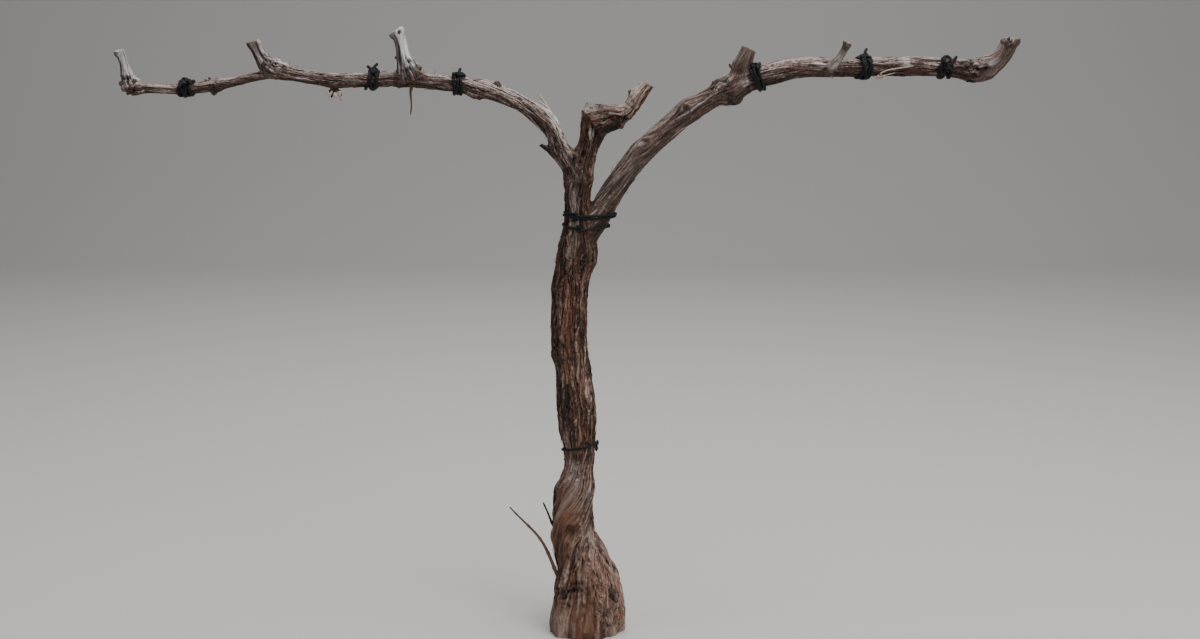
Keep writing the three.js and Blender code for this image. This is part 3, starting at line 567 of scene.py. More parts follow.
# The limbs that each stem is made of, and the share of each that it takes
STEM_PARTS = {
    "trunk": [("trunk", 0.99), ("head_stub", 1)],
    "right": [("right_arm", 1), ("right_cordon", 1), ("right_end_spur", 1)],
    "left": [("left_arm", 1), ("left_inner_cordon", 1), ("left_end_spur_base", 1), ("left_end_spur_tip", 1)],
    "outer": [("left_outer_cordon", 1)],
    "outer_spur": [("left_outer_spur", 1)],
    "inner_spur": [("left_inner_spur", 1)],
    "shoulder_spur": [("right_shoulder_spur", 1)],
    "thin_spur": [("right_thin_spur", 1)],
    "head": [("head_branch", 0.862), ("head_spur", 1)],
    "snag": [("fork_snag", 1)],
}
STEMS = {name: Stem(name, parts) for name, parts in STEM_PARTS.items()}
for stem_name, middle, side, count, reach, largest in PITS:
    MARKS[stem_name] += pits(middle, side, count, reach, largest, STEMS[stem_name].radii.mean())

# Which stems flow into each other, and over how many millimetres
FORKS = [
    ("right", "trunk", 9), ("left", "trunk", 8), ("outer", "left", 6), ("outer_spur", "outer", 5),
    ("inner_spur", "left", 7), ("shoulder_spur", "right", 6), ("thin_spur", "right", 4),
    ("head", "trunk", 7), ("snag", "left", 5),
]

# Brings the noise up to its full range
NOISE_GAIN = 1.6


def noise(points, seed):
    """Smooth gradient noise of about -1 to 1 at points of any shape (..., 3)."""
    dice = np.random.default_rng(seed)
    table = dice.permutation(256)
    slopes = unit(dice.normal(size=(256, 3)))
    cell = np.floor(points).astype(int)
    f = points - cell
    ease = f * f * f * (f * (f * 6 - 15) + 10)
    total = 0
    for corner in np.ndindex(2, 2, 2):
        corner = np.array(corner)
        x, y, z = np.moveaxis((cell + corner) & 255, -1, 0)
        pick = table[(table[(table[x] + y) & 255] + z) & 255]
        slope = (slopes[pick] * (f - corner)).sum(-1)
        total = total + slope * np.where(corner == 1, ease, 1 - ease).prod(-1)
    return NOISE_GAIN * total


# What the bark is like at a point. The height is in millimetres, and the others are about 0 to 1. crack and
# dark carry painted shade, pale painted highlight, and tone and grey painted top light, besides the bark's
# own colour
CHANNELS = ["height", "crack", "tone", "inner", "smooth", "dark", "pale", "grey"]
HEIGHT, CRACK, TONE, INNER, SMOOTH, DARK, PALE, GREY = range(len(CHANNELS))
STEM_SEED = {name: 10 * i for i, name in enumerate(STEMS)}
STEM_SHIFT = 40

# How much of their way strips give up round a knot, and how far and over what length they waver (millimetres)
PARTING = 0.6
WAVER = 2.9
WAVER_RING = 1.3
WAVER_RUN = 55

# The bark's grains: the width and the length of one in millimetres, and its seed
GRAINS = {
    "broad": (9, 110, 1), "split": (3.4, 62, 2), "fine_split": (2.0, 30, 3), "layer": (5.5, 42, 4),
    "fibre": (0.95, 14, 5), "streak": (3.0, 60, 6), "thread": (1.3, 24, 7), "crumb": (2.4, 4, 8),
    "fold": (5, 75, 9), "fine_fold": (2, 36, 10),
}

# The bark's relief. Widths, edges and levels are in the grains' own range of about -1 to 1, and the rim round
# a hollow is in shares of the hollow's depth and reach
CRACK_WIDTH = 0.1
FINE_CRACK_WIDTH = 0.09
FINE_CRACKS = 0.6
CRACK_LEVEL = 0.15
STRIP_EDGE = 0.2
STRIP_LEVEL = 0.6
LAYER_STEPS = 2.4
LAYER_TREAD = 0.75
BARE_CALM = 0.8
FINE_FOLDS = 0.5
# The folds' hollows get painted shade and their crests a painted highlight: how strongly, and where each sets
# in
FOLD_SHADE = 1.8
FOLD_SHINE = 0.7
FOLD_DEEP = 0.15
FOLD_CREST = 0.2
MOST_SHINE = 0.2
RIM_HEIGHT = 0.35
RIM_PLACE = 1.5
RIM_WIDTH = 0.45
DEEPEST = 1.5

# The bark's tone: its middle, and what its grains add to it. Its upper side is made lighter and greyer, as
# painted top light and partly as bleaching
TONE_MIDDLE = 0.47
STREAK_TONE = 0.6
THREAD_TONE = 0.35
CRUMB_TONE = 0.3
TOP_LIGHT_AND_BLEACH = 0.3

# Fresh inner bark shows on the lower layers: how much of it, from what level, and how fast it sets in
INNER_MOST = 0.5
INNER_LEVEL = 0.4
INNER_SLOPE = 0.5


def turned_by(stem, s, angle):
    """The angle without the bark's twist and waver. Strips part round knots and close behind them."""
    twist = np.radians(along(DRESS[stem.name]["twist"], s / stem.length))
    around = np.interp(s, stem.s, stem.radii.mean(1))
    waver = noise(tube_place(WAVER_RING, angle, s / WAVER_RUN), STEM_SEED[stem.name])
    turned = angle - twist + WAVER / around * waver
    for distance, side, reach in KNOTS.get(stem.name, []):
        off = off_side(angle, side)
        near = bell(np.hypot((s - distance) / (1.5 * reach), off * around / reach))
        turned = turned - PARTING * off * near
    return turned


def grain_place(stem, s, angle):
    """Coordinates in millimetres that follow the strips of bark, with no seam round the stem."""
    start = STEM_SHIFT * STEM_SEED[stem.name]
    return tube_place(stem.radii.mean(), turned_by(stem, s, angle), s + start)


def bark(stem, s, angle):
    """The bark's channels at distances s and angles: an array with one more axis."""
    dress = DRESS[stem.name]
    style = dress["style"]
    share = s / stem.length
    place = grain_place(stem, s, angle)
    look = np.zeros(s.shape + (len(CHANNELS),))

    def grain(name):
        wide, long, seed = GRAINS[name]
        return noise(place / (np.array([wide, wide, long]) * style["coarse"]), STEM_SEED[stem.name] + seed)

    def raise_to(channel, values):
        look[..., channel] = np.maximum(look[..., channel], values)

    for kind, areas in AREAS[stem.name].items():
        for distance, side, reach, spread, strength in areas:
            turned = off_side(angle, side) / math.radians(spread)
            values = strength * bell(((s - distance) / reach) ** 2 + turned**2)
            if kind == "tone":
                look[..., TONE] += values
            else:
                raise_to(CHANNELS.index(kind), values)
    raise_to(SMOOTH, along(dress["smooth"], share))
    bare = look[..., SMOOTH]
    rough = along(dress["rough"], share) * (1 - BARE_CALM * bare)

    split = grain("split")
    layer = LAYER_STEPS * grain("layer")
    crumb = grain("crumb")
    crack = bell(split / CRACK_WIDTH) + FINE_CRACKS * bell(grain("fine_split") / FINE_CRACK_WIDTH)
    crack = np.minimum(crack, 1)
    stair = np.floor(layer) + np.clip((layer - np.floor(layer) - LAYER_TREAD) / (1 - LAYER_TREAD), 0, 1)
    height = style["strip"] * (np.tanh(np.abs(split) / STRIP_EDGE) - STRIP_LEVEL)
    height = height - style["gap"] * (crack - CRACK_LEVEL)
    height = height + style["layer"] * stair + style["fibre"] * grain("fibre") + style["crumb"] * crumb
    height = rough * height + style["broad"] * grain("broad") * np.minimum(rough + 0.5, 1)
    fold = grain("fold") + FINE_FOLDS * grain("fine_fold")
    height = height + style["fold"] * bare * fold
    # Painted shade in the folds' hollows and a painted highlight on their crests
    raise_to(DARK, bare * np.clip(-FOLD_SHADE * (fold + FOLD_DEEP), 0, 1))
    raise_to(PALE, bare * np.clip(FOLD_SHINE * (fold - FOLD_CREST), 0, MOST_SHINE))
    for distance, side, reach, spread, out, dark in MARKS[stem.name]:
        round_it = off_side(angle, side) * stem.radius(np.float64(distance), np.radians(side))
        off = np.sqrt(((s - distance) / reach) ** 2 + (round_it / spread) ** 2)
        height = height + out * bell(off)
        if out < 0:
            height = height - RIM_HEIGHT * out * bell((off - RIM_PLACE) / RIM_WIDTH)
        # The darkness of a mark: painted shade in a hollow, and a knot's own dark colour
        raise_to(DARK, np.minimum(dark * bell(off), DEEPEST))
    look[..., HEIGHT] = height
    # Cracks are painted dark in the material: painted shade between the strips
    look[..., CRACK] = crack * np.minimum(rough, 1)
    # Bark that faces up is lighter and greyer: painted top light, and partly bleaching
    upward = stem.outward(s, angle)[..., 2]
    tone = TONE_MIDDLE + STREAK_TONE * grain("streak") + THREAD_TONE * grain("thread")
    look[..., TONE] += tone + CRUMB_TONE * crumb + TOP_LIGHT_AND_BLEACH * upward
    raise_to(INNER, INNER_MOST * np.clip(INNER_LEVEL - INNER_SLOPE * layer, 0, 1))
    look[..., GREY] = along(dress["grey"], share) + 0.5 * TOP_LIGHT_AND_BLEACH * upward
    return look


def neighbours(stem):
    for child, parent, blend in FORKS:
        if stem.name == child:
            yield STEMS[parent], blend
        elif stem.name == parent:
            yield STEMS[child], blend


# How the skins of two stems are drawn together at a fork. All but the steps and the slope are in millimetres
FORK_STEPS = 4
NEAR_A_FORK = 8
WIDEST_STEM = 50
LONGEST_STEP = 3
LEAST_SLOPE = 0.2
WELL_INSIDE = 2


def settle(stem, points, look):
    """Draws points of one stem's skin on to the smooth skin that it shares with the stems that fork from it.

    Returns the points, their look, and whether each is hidden inside another stem.
    """
    points, look = points.copy(), look.copy()
    hidden = np.zeros(len(points), bool)
    for other, blend in neighbours(stem):
        low, high = other.centre.min(0) - WIDEST_STEM, other.centre.max(0) + WIDEST_STEM
        near = np.flatnonzero(((points > low) & (points < high)).all(1))
        if not len(near):
            continue
        s, angle, outside = other.locate(points[near])
        close = outside < blend + NEAR_A_FORK
        near, s, angle = near[close], s[close], angle[close]
        if not len(near):
            continue
        spots = points[near]
        own_look = look[near]
        other_look = bark(other, np.clip(s, 0, other.length), angle)
        for _ in range(FORK_STEPS):
            own_s, own_angle, own_out = stem.locate(spots)
            s, angle, out = other.locate(spots)
            share = np.clip(0.5 + 0.5 * (out - own_out) / blend, 0, 1)[:, None]
            close_to_both = np.clip(1 - np.abs(out - own_out) / blend, 0, 1)
            shared_out = np.minimum(out, own_out) - close_to_both**2 * blend / 4
            goal = share[:, 0] * own_look[:, HEIGHT] + (1 - share[:, 0]) * other_look[:, HEIGHT]
            way = share * stem.outward(own_s, own_angle) + (1 - share) * other.outward(s, angle)
            step = (goal - shared_out) / np.maximum((way**2).sum(1), LEAST_SLOPE)
            step = np.clip(step, -LONGEST_STEP, LONGEST_STEP)
            spots = spots + np.where(share < 1, way * step[:, None], 0)
        points[near] = spots
        look[near] = share * own_look + (1 - share) * other_look
        hidden[near] |= out < own_out - WELL_INSIDE
    return points, look, hidden


# A millimetre in metres, and the gap between the parts of a map, as a share of a part's mean height
METRES = 0.001
SHELF_MARGIN = 0.1


class Pile:
    """Parts that become one mesh: their points, faces, channels, grain coordinates and maps."""

    def __init__(self):
        self.points, self.faces, self.looks, self.grains, self.maps = [], [], [], [], []
        self.count = 0
        self.shelf = 0.0

    def add(self, points, faces, look, grain, uv, height):
        """Adds a part. uv is per corner, from 0 to 1, and takes a shelf of the given height in the map."""
        self.points.append(points.reshape(-1, 3))
        self.faces.append([tuple(corner + self.count for corner in face) for face in faces])
        self.looks.append(look.reshape(-1, len(CHANNELS)))
        self.grains.append(grain.reshape(-1, 3))
        self.maps.append((uv.reshape(-1, 2), self.shelf, height))
        self.count += len(self.points[-1])
        self.shelf += height

    def piece(self, name, material, slot, replaced=()):
        """Makes the piece: a smooth mesh in metres with its channels as attributes, riding on the root."""
        mesh = bpy.data.meshes.new(name)
        faces = [face for part in self.faces for face in part]
        mesh.from_pydata((np.concatenate(self.points) * METRES).tolist(), [], faces)
        mesh.polygons.foreach_set("use_smooth", [True] * len(faces))
        looks = np.concatenate(self.looks)
        for i, channel in enumerate(CHANNELS):
            values = mesh.attributes.new(channel, "FLOAT", "POINT")
            values.data.foreach_set("value", looks[:, i].astype(np.float32))
        grain = mesh.attributes.new("grain", "FLOAT_VECTOR", "POINT")
        grain.data.foreach_set("vector", np.concatenate(self.grains).astype(np.float32).ravel())
        layer = mesh.uv_layers.new(name="OFBake")
        margin = SHELF_MARGIN * self.shelf / len(self.maps)
        spots = [uv * [1, height - margin] + [0, base] for uv, base, height in self.maps]
        spots = np.concatenate(spots) / [1, self.shelf]
        layer.uv.foreach_set("vector", spots.astype(np.float32).ravel())
        mesh.materials.append(material)
        piece = bpy.data.objects.new(name, mesh)
        bpy.context.scene.collection.objects.link(piece)
        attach(piece, "root")
        if replaced:
            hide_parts(*replaced)


def lattice(rows, columns):
    """Quads of a tube of points laid ring by ring, and their corners in the map."""
    i, j = np.meshgrid(np.arange(rows - 1), np.arange(columns), indexing="ij")
    i, j = i.ravel(), j.ravel()
    k = (j + 1) % columns
    faces = np.stack([i * columns + j, i * columns + k, (i + 1) * columns + k, (i + 1) * columns + j], 1)
    u = np.stack([j, j + 1, j + 1, j], 1) / columns
    v = np.stack([i, i, i + 1, i + 1], 1) / (rows - 1)
    return faces, np.stack([u, v], -1)


def disc_map(angle):
    """The corners of an end face in the map: a circle that fills it."""
    return np.stack([np.cos(angle), np.sin(angle)], 1) * 0.5 + 0.5


# The rings that close a stem's end, as shares of its radius, and the rest of what its skin needs
CAP_RINGS = np.array([0.93, 0.82, 0.66, 0.48, 0.3, 0.12])
THINNEST = 0.5
HUB_SHELF = 2
GIRTH_PERCENTILE = 80

# The look of an end
PITH_WIDTH = 0.28
CUT_DARK = 0.25
CUT_PALE = 0.3
RIM_PALE = 0.1
CUT_TONE = 0.6
BREAK_DARK = 0.55
END_CRACKS = 0.3


def cut_shift(stem, s, angle, rho):
    """How far a slanted pruning cut carries the wood along its stem."""
    if not stem.cut:
        return np.zeros_like(rho)
    slant, side = stem.cut
    near = np.clip((s - stem.length) / (CUT_SHARE * (stem.length - stem.last_start)) + 1, 0, 1)
    near = near * near * (3 - 2 * near)
    return near * slant * rho * np.cos(angle - math.radians(side))


def skin(pile, stem, first, last, across, step):
    """Adds a stem's bark from one distance to another, and its end if it reaches it, to a pile."""
    rows = np.linspace(first, last, max(2, round((last - first) / step) + 1))
    within = (stem.s >= first) & (stem.s <= last)
    columns = round(2 * np.pi * np.percentile(stem.radii[within], GIRTH_PERCENTILE) / across)
    s, angle = np.meshgrid(rows, np.arange(columns) * 2 * np.pi / columns, indexing="ij")
    look = bark(stem, s, angle)
    rho = np.maximum(stem.radius(s, angle) + look[..., HEIGHT], THINNEST)
    ends = last >= stem.length
    if ends:
        rings = CAP_RINGS[:, None] * np.ones((1, columns))
        inset = np.concatenate([np.ones_like(s), rings])
        s = np.concatenate([s, np.full(rings.shape, stem.length)])
        angle = np.concatenate([angle, np.repeat(angle[-1:], len(rings), 0)])
        rho = np.concatenate([rho, rings * rho[-1:]])
        look = np.concatenate([look, end_look(stem, look[-1:], rings)])
    shift = cut_shift(stem, s, angle, rho)
    if ends:
        shift = shift + end_shape(stem, s, angle, rho, inset)
    points = stem.point(s, angle, rho)
    points = points + shift[..., None] * stem.at(s)[1]
    grain = grain_place(stem, s, angle)
    shape = points.shape[:2]
    points, look, hidden = settle(stem, points.reshape(-1, 3), look.reshape(-1, len(CHANNELS)))
    points[:, 2] = np.maximum(points[:, 2], 0)
    faces, uv = lattice(*shape)
    shown = ~hidden[faces].all(1)
    pile.add(points, faces[shown].tolist(), look, grain, uv[shown], last - first)
    if ends:
        fan = [(j, (j + 1) % columns, columns) for j in range(columns)]
        spots = disc_map(angle[-1])
        corners = [[spots[j], spots[k], (0.5, 0.5)] for j, k, _ in fan]
        hub = np.vstack([points[-columns:], points[-columns:].mean(0)])
        hub_look = np.vstack([look[-columns:], look[-1:]])
        hub_grain = np.vstack([grain[-1], grain[-1:, 0]])
        pile.add(hub, fan, hub_look, hub_grain, np.array(corners), HUB_SHELF)


def end_look(stem, rim, rings):
    """The look of a stem's end: pale wood round a dark pith where it was pruned, dark where it broke."""
    look = np.repeat(rim, len(rings), 0)
    look[..., CRACK] *= END_CRACKS
    if stem.cut:
        look[..., SMOOTH] = 1
        look[..., DARK] = np.maximum(bell(rings / PITH_WIDTH), CUT_DARK)
        look[..., PALE] = np.where(rings < CAP_RINGS[0], CUT_PALE, RIM_PALE)
        look[..., TONE] = CUT_TONE
    else:
        look[..., DARK] = np.maximum(look[..., DARK], BREAK_DARK)
    return look


# The relief of the ends in millimetres: it fades out along the stem, and a pruned end is hollow and rounded
END_REACH = 6
END_GRAIN = [3, 3, 1]
END_SEED = 900
CUT_ROUGH = 0.9
CUT_HOLLOW = 0.8
HOLLOW_WIDTH = 0.3
CUT_ROUNDING = 1.2
BREAK_ROUGH = 3.0


def end_shape(stem, s, angle, rho, inset):
    """The relief of a stem's end: a little hollow where it was pruned, jagged where it broke."""
    near = np.clip((s - stem.length) / END_REACH + 1, 0, 1) ** 2
    ragged = noise(tube_place(rho, angle, inset) / END_GRAIN, END_SEED)
    if stem.cut:
        return near * (CUT_ROUGH * ragged - CUT_HOLLOW * bell(inset / HOLLOW_WIDTH) - CUT_ROUNDING * inset**4)
    return near * (BREAK_ROUGH * ragged * (0.4 + 0.6 * inset))


# Strips of loose bark: each has rows of four corners, which are (side, up) from its middle line. Its width
# tapers to the tips and varies a little, it drifts off the bark's twist, and it sinks a little into the bark.
STRIP_ROWS = 9
STRIP_THICK = 0.5
STRIP_SINK = 0.25
CORNERS = [(-1, 0), (1, 0), (1, 1), (-1, 1)]
BLUNT_TIPS = (0.04, 0.96)
TAPER = 0.6
WIDTHS = (0.6, 1.1)
DRIFT = 0.12
DRIFT_SWAY = 0.06
EDGE_WANDER = 0.4
CURL = 0.3
SKEW = 0.25
FELT_AT = (-0.8, 0, 0.8)
CELL_MARGIN = 0.05

# The look of strips, with painted shade on their undersides, and how many of them lie on bare wood
STRIP_TONE = 0.5
TONE_SPREAD = 0.55
INNER_KEPT = 0.85
INNER_SPREAD = (-1.2, 0.7)
BARE_KEPT = 0.3
UNDERSIDE_SHADE = 0.6
BARE_LIMIT = 0.2
ON_BARE = 0.05


def strips(pile, stem_name, count, span, wide, long, lift, seed, sides=(0, 360)):
    """Thin ribbons of bark that follow the strips of the stem and stand off it at their ends."""
    stem = STEMS[stem_name]
    dice = np.random.default_rng(seed)
    length = dice.uniform(*long, count)
    start = dice.uniform(span[0], np.maximum(span[1] - length, span[0]))
    side = np.radians(dice.uniform(*sides, count))
    width = dice.uniform(*wide, count)
    v = np.linspace(0, 1, STRIP_ROWS)
    s = np.clip(start[:, None] + length[:, None] * v, 0, stem.length)
    twist = np.radians(along(DRESS[stem_name]["twist"], s / stem.length))
    drift = dice.normal(0, DRIFT, (count, 1)) * (v - 0.5)
    drift = drift + DRIFT_SWAY * np.sin(2 * np.pi * (v + side[:, None]))
    drift = drift + dice.normal(0, EDGE_WANDER, v.shape) / stem.radii.mean()
    angle = side[:, None] + twist - twist[:, STRIP_ROWS // 2][:, None] + drift
    around = stem.radius(s, angle)
    half = width[:, None] / 2 * np.sin(np.pi * np.clip(v, *BLUNT_TIPS)) ** TAPER / around
    half = half * dice.uniform(*WIDTHS, half.shape)
    under = np.max([bark(stem, s, angle + k * half)[..., HEIGHT] for k in FELT_AT], 0)
    beside = np.pad(under, ((0, 0), (1, 1)), "edge")
    under = (beside[:, :-2] + under + beside[:, 2:]) / 3
    tips = dice.uniform(0, 1, (2, count, 1)) ** 3 * lift
    bend = 0.5 + dice.uniform(0, CURL, (count, 1))
    rise = tips[0] * np.clip(1 - v / bend, 0, 1) ** 2 + tips[1] * np.clip(1 - (1 - v) / bend, 0, 1) ** 2
    height = under + rise - STRIP_SINK
    look = bark(stem, s, angle)
    look[..., CRACK] = 0
    look[..., TONE] = STRIP_TONE * look[..., TONE] + dice.uniform(0, TONE_SPREAD, (count, 1))
    look[..., INNER] = np.maximum(look[..., INNER] * INNER_KEPT, dice.uniform(*INNER_SPREAD, (count, 1)))
    look[..., SMOOTH] *= BARE_KEPT
    rises = [STRIP_THICK * (up - SKEW * (k > 0)) for k, up in CORNERS]
    points = [stem.point(s, angle + k * half, around + height + up) for (k, _), up in zip(CORNERS, rises)]
    points = np.stack(points, 2).reshape(-1, 3)
    looks = np.repeat(look[:, :, None, :], len(CORNERS), 2)
    looks[..., HEIGHT] = height[..., None] + STRIP_THICK * np.array([up for _, up in CORNERS])
    # Painted shade on each strip's underside
    looks[:, :, :2, DARK] = np.maximum(looks[:, :, :2, DARK], UNDERSIDE_SHADE)
    grain = np.repeat(grain_place(stem, s, angle)[:, :, None, :], len(CORNERS), 2)
    points, looks, hidden = settle(stem, points, looks.reshape(-1, len(CHANNELS)))
    corners = STRIP_ROWS * len(CORNERS)
    points, looks, grain = (part.reshape(count, corners, -1) for part in (points, looks, grain))
    shaggy = (look[..., SMOOTH].max(1) < BARE_LIMIT) | (dice.uniform(size=count) < ON_BARE)
    kept = shaggy & ~hidden.reshape(count, -1).any(1) & (points[..., 2].min(1) > 0)
    add_ribbons(pile, points[kept], looks[kept], grain[kept])


def add_ribbons(pile, points, looks, grain):
    """Adds many strips of the same build to a pile, each with a cell of its own in the map."""
    count, corners = points.shape[:2]
    faces, uv = lattice(STRIP_ROWS, len(CORNERS))
    faces = (faces[None] + np.arange(count)[:, None, None] * corners).reshape(-1, 4)
    across = math.ceil(math.sqrt(count))
    cell = np.stack([np.arange(count) % across, np.arange(count) // across], 1)[:, None, None, :]
    uv = (cell + CELL_MARGIN + (1 - 2 * CELL_MARGIN) * uv[None]) / across
    pile.add(points, faces.tolist(), looks, grain, uv, 1)


def smooth_path(points, per_span=8):
    """A smooth curve through a few points."""
    t = np.linspace(0, 1, per_span * (len(points) - 1) + 1)
    return np.stack([along(column, t) for column in np.asarray(points, float).T], 1)


# The rings that round off a tube's end, as shares of its radius (out, size), a direction that no tube takes,
# and how far apart the tubes' grains start
TIP_RINGS = [(0.9, 0.45), (0.5, 0.8)]
ANY_WAY = (0.31, 0.77, 0.56)
TUBE_SHIFT = 31


def sweep(pile, path, radius, sides, look, ends=True):
    """Adds a round tube along a path to a pile. radius is one number, or one for each point of the path."""
    path = np.asarray(path, float)
    radius = np.broadcast_to(np.asarray(radius, float), len(path))
    forward = unit(np.gradient(path, axis=0))
    across = unit(np.cross(forward[0], ANY_WAY))
    frames = []
    for way in forward:
        across = unit(across - way * (across @ way))
        frames.append((across, np.cross(way, across)))
    angle = np.arange(sides) * 2 * np.pi / sides

    def ring(i, out, size):
        return path[i] + out * forward[i] * radius[i] + radius[i] * size * spoke(*frames[i], angle)

    tips = TIP_RINGS if ends else []
    rings = [ring(0, -out, size) for out, size in tips]
    rings += [ring(i, 0, 1) for i in range(len(path))]
    rings += [ring(-1, out, size) for out, size in reversed(tips)]
    rows = len(rings)
    faces, uv = lattice(rows, sides)
    points = np.concatenate(rings)
    caps = [tuple(range(sides))[::-1], tuple(range((rows - 1) * sides, rows * sides))]
    uv = np.concatenate([uv.reshape(-1, 2)] + [disc_map(angle)] * 2)
    looks = np.repeat(np.asarray(look, float)[None], len(points), 0)
    s = np.repeat(np.arange(rows) * np.linalg.norm(path[1] - path[0]), sides) + TUBE_SHIFT * len(pile.maps)
    grain = tube_place(radius.mean(), np.tile(angle, rows), s)
    pile.add(points, faces.tolist() + caps, looks, grain, uv, rows)


def look_of(**channels):
    """A look with the given channels and the rest at 0."""
    look = np.zeros(len(CHANNELS))
    for name, value in channels.items():
        look[CHANNELS.index(name)] = value
    return look


def on_bark(stem, route):
    """Points at (distance, side in degrees, height above the smooth wood) along a stem."""
    s, side, out = np.array(route, float).T
    angle = np.radians(side)
    return stem.point(s, angle, stem.radius(s, angle) + out)


# Ties of soft black tube, in millimetres: at is how far along the first stem, wide the width of the band,
# slant how far it slants and towards which side, loose how much its turns wander, knot the side of the knot,
# ends its loose ends (ahead, round, out), bulk its loops besides the first, and cord the tube's radius.
TIES = {
    "tie_trunk_low": dict(
        stems=["trunk"], at=252, wide=7, turns=1, slant=(5, 300), knot=20, ends=[(6, 2, 3), (-7, 4, 2)],
    ),
    "tie_trunk_middle": dict(
        stems=["trunk", "right"], at=541, wide=4, turns=1, slant=(1.5, 40), knot=250, ends=[(3, 5, 2)],
    ),
    "tie_trunk_high": dict(
        stems=["trunk", "right"], at=554, wide=5, turns=2, slant=(1.5, 200), knot=235, ends=[(-4, -5, 2)],
    ),
    "tie_left_outer": dict(
        stems=["outer"], at=133, wide=13, turns=5, slant=(2, 250), loose=2.6, knot=330,
        ends=[(-8, -9, 3), (6, -11, 1)], bulk=4, cord=2.0,
    ),
    "tie_left_middle": dict(
        stems=["left"], at=311, wide=13, turns=4, slant=(3, 120), loose=2.8, knot=330,
        ends=[(5, 7, 3), (-6, 12, 3)], bulk=3, cord=1.9,
    ),
    "tie_left_inner": dict(
        stems=["left"], at=206, wide=11, turns=4, slant=(2, 90), loose=1.8, knot=345,
        ends=[(0, 9, 4), (5, -8, 2)], bulk=2, cord=1.9,
    ),
    "tie_right_shoulder": dict(
        stems=["right"], at=317, wide=9, turns=4, slant=(-3, 270), loose=1.6, knot=215, ends=[(2, 8, 2)],
        bulk=2, cord=2.0,
    ),
    "tie_right_middle": dict(
        stems=["right"], at=448, wide=12, turns=4, slant=(5, 270), loose=3.4, knot=205,
        ends=[(5, -11, 5), (-9, 8, 3)], bulk=3, cord=1.9,
    ),
    "tie_right_outer": dict(
        stems=["right"], at=551, wide=18, turns=4, slant=(-3, 270), loose=4.0, knot=262,
        ends=[(7, 8, 2), (-8, -9, 3)], bulk=2, cord=1.7,
    ),
}
CORD = 1.6
LOOSE = 0.8
TIE_LOOK = look_of(tone=0.5)
GIRDLE_STEPS = 96
TURN_STEPS = 40
CORD_SIDES = 9
KNOT_SIDES = 8
RIDGE = 1.5
FAR_COST = 0.02
LEAST_FACING = 0.05

# How the turns cross, rise over each other and swell: shares of the cord, and rates by turn
CROSSING = 1.37
PRESSED = 0.9
OVERLAP = 0.7
OVERLAP_RATE = 0.7
SWELLING = 0.12
SWELLING_RATE = 3.1

# The knot: how far it stands off the wood, its loops, and its loose ends
KNOT_STAND = 1.2
KNOT_CORD = 0.85
LOOP_STEPS = 49
LOOP_SIZE = 1.15
LOOP_GROWTH = 0.15
LOOP_DEPTH = 1.1
LOOP_SHIFT = 2.2
LOOP_LIFT = 0.4
END_CORD = 0.95
END_BEND = 1.5


def girdle(tie):
    """The centre and directions of a tie's plane, and how far a taut cord lies from it at each angle."""
    first = STEMS[tie["stems"][0]]
    centre, forward, back, right = (part[0] for part in first.at(np.array([float(tie["at"])])))
    angle = np.arange(GIRDLE_STEPS) * 2 * np.pi / GIRDLE_STEPS
    points = []
    for stem in (STEMS[name] for name in tie["stems"]):
        away = (stem.centre - centre) @ forward
        level = np.abs(away) + FAR_COST * np.linalg.norm(stem.centre - centre, axis=1)
        s = np.full(GIRDLE_STEPS, stem.s[level.argmin()])
        rho = stem.radius(s, angle) + bark(stem, s, angle)[:, HEIGHT].clip(0, RIDGE)
        spots = stem.point(s, angle, rho)
        own_forward = stem.at(s[:1])[1][0]
        along_it = (spots - centre) @ forward / (own_forward @ forward)
        points.append(spots - along_it[:, None] * own_forward)
    flat = np.concatenate(points) - centre
    middle = np.array([flat @ right, flat @ back]).mean(1) if len(points) > 1 else np.zeros(2)
    centre = centre + middle[0] * right + middle[1] * back
    flat = np.stack([flat @ right - middle[0], flat @ back - middle[1]], 1)
    ways = np.stack([np.cos(angle), np.sin(angle)], 1)
    support = (flat @ ways.T).max(0)
    facing = np.cos(angle[:, None] - angle[None, :])
    reach = support[None, :] / np.maximum(facing, LEAST_FACING)
    reach = np.where(facing > LEAST_FACING, reach, np.inf).min(1)
    return centre, forward, back, right, reach


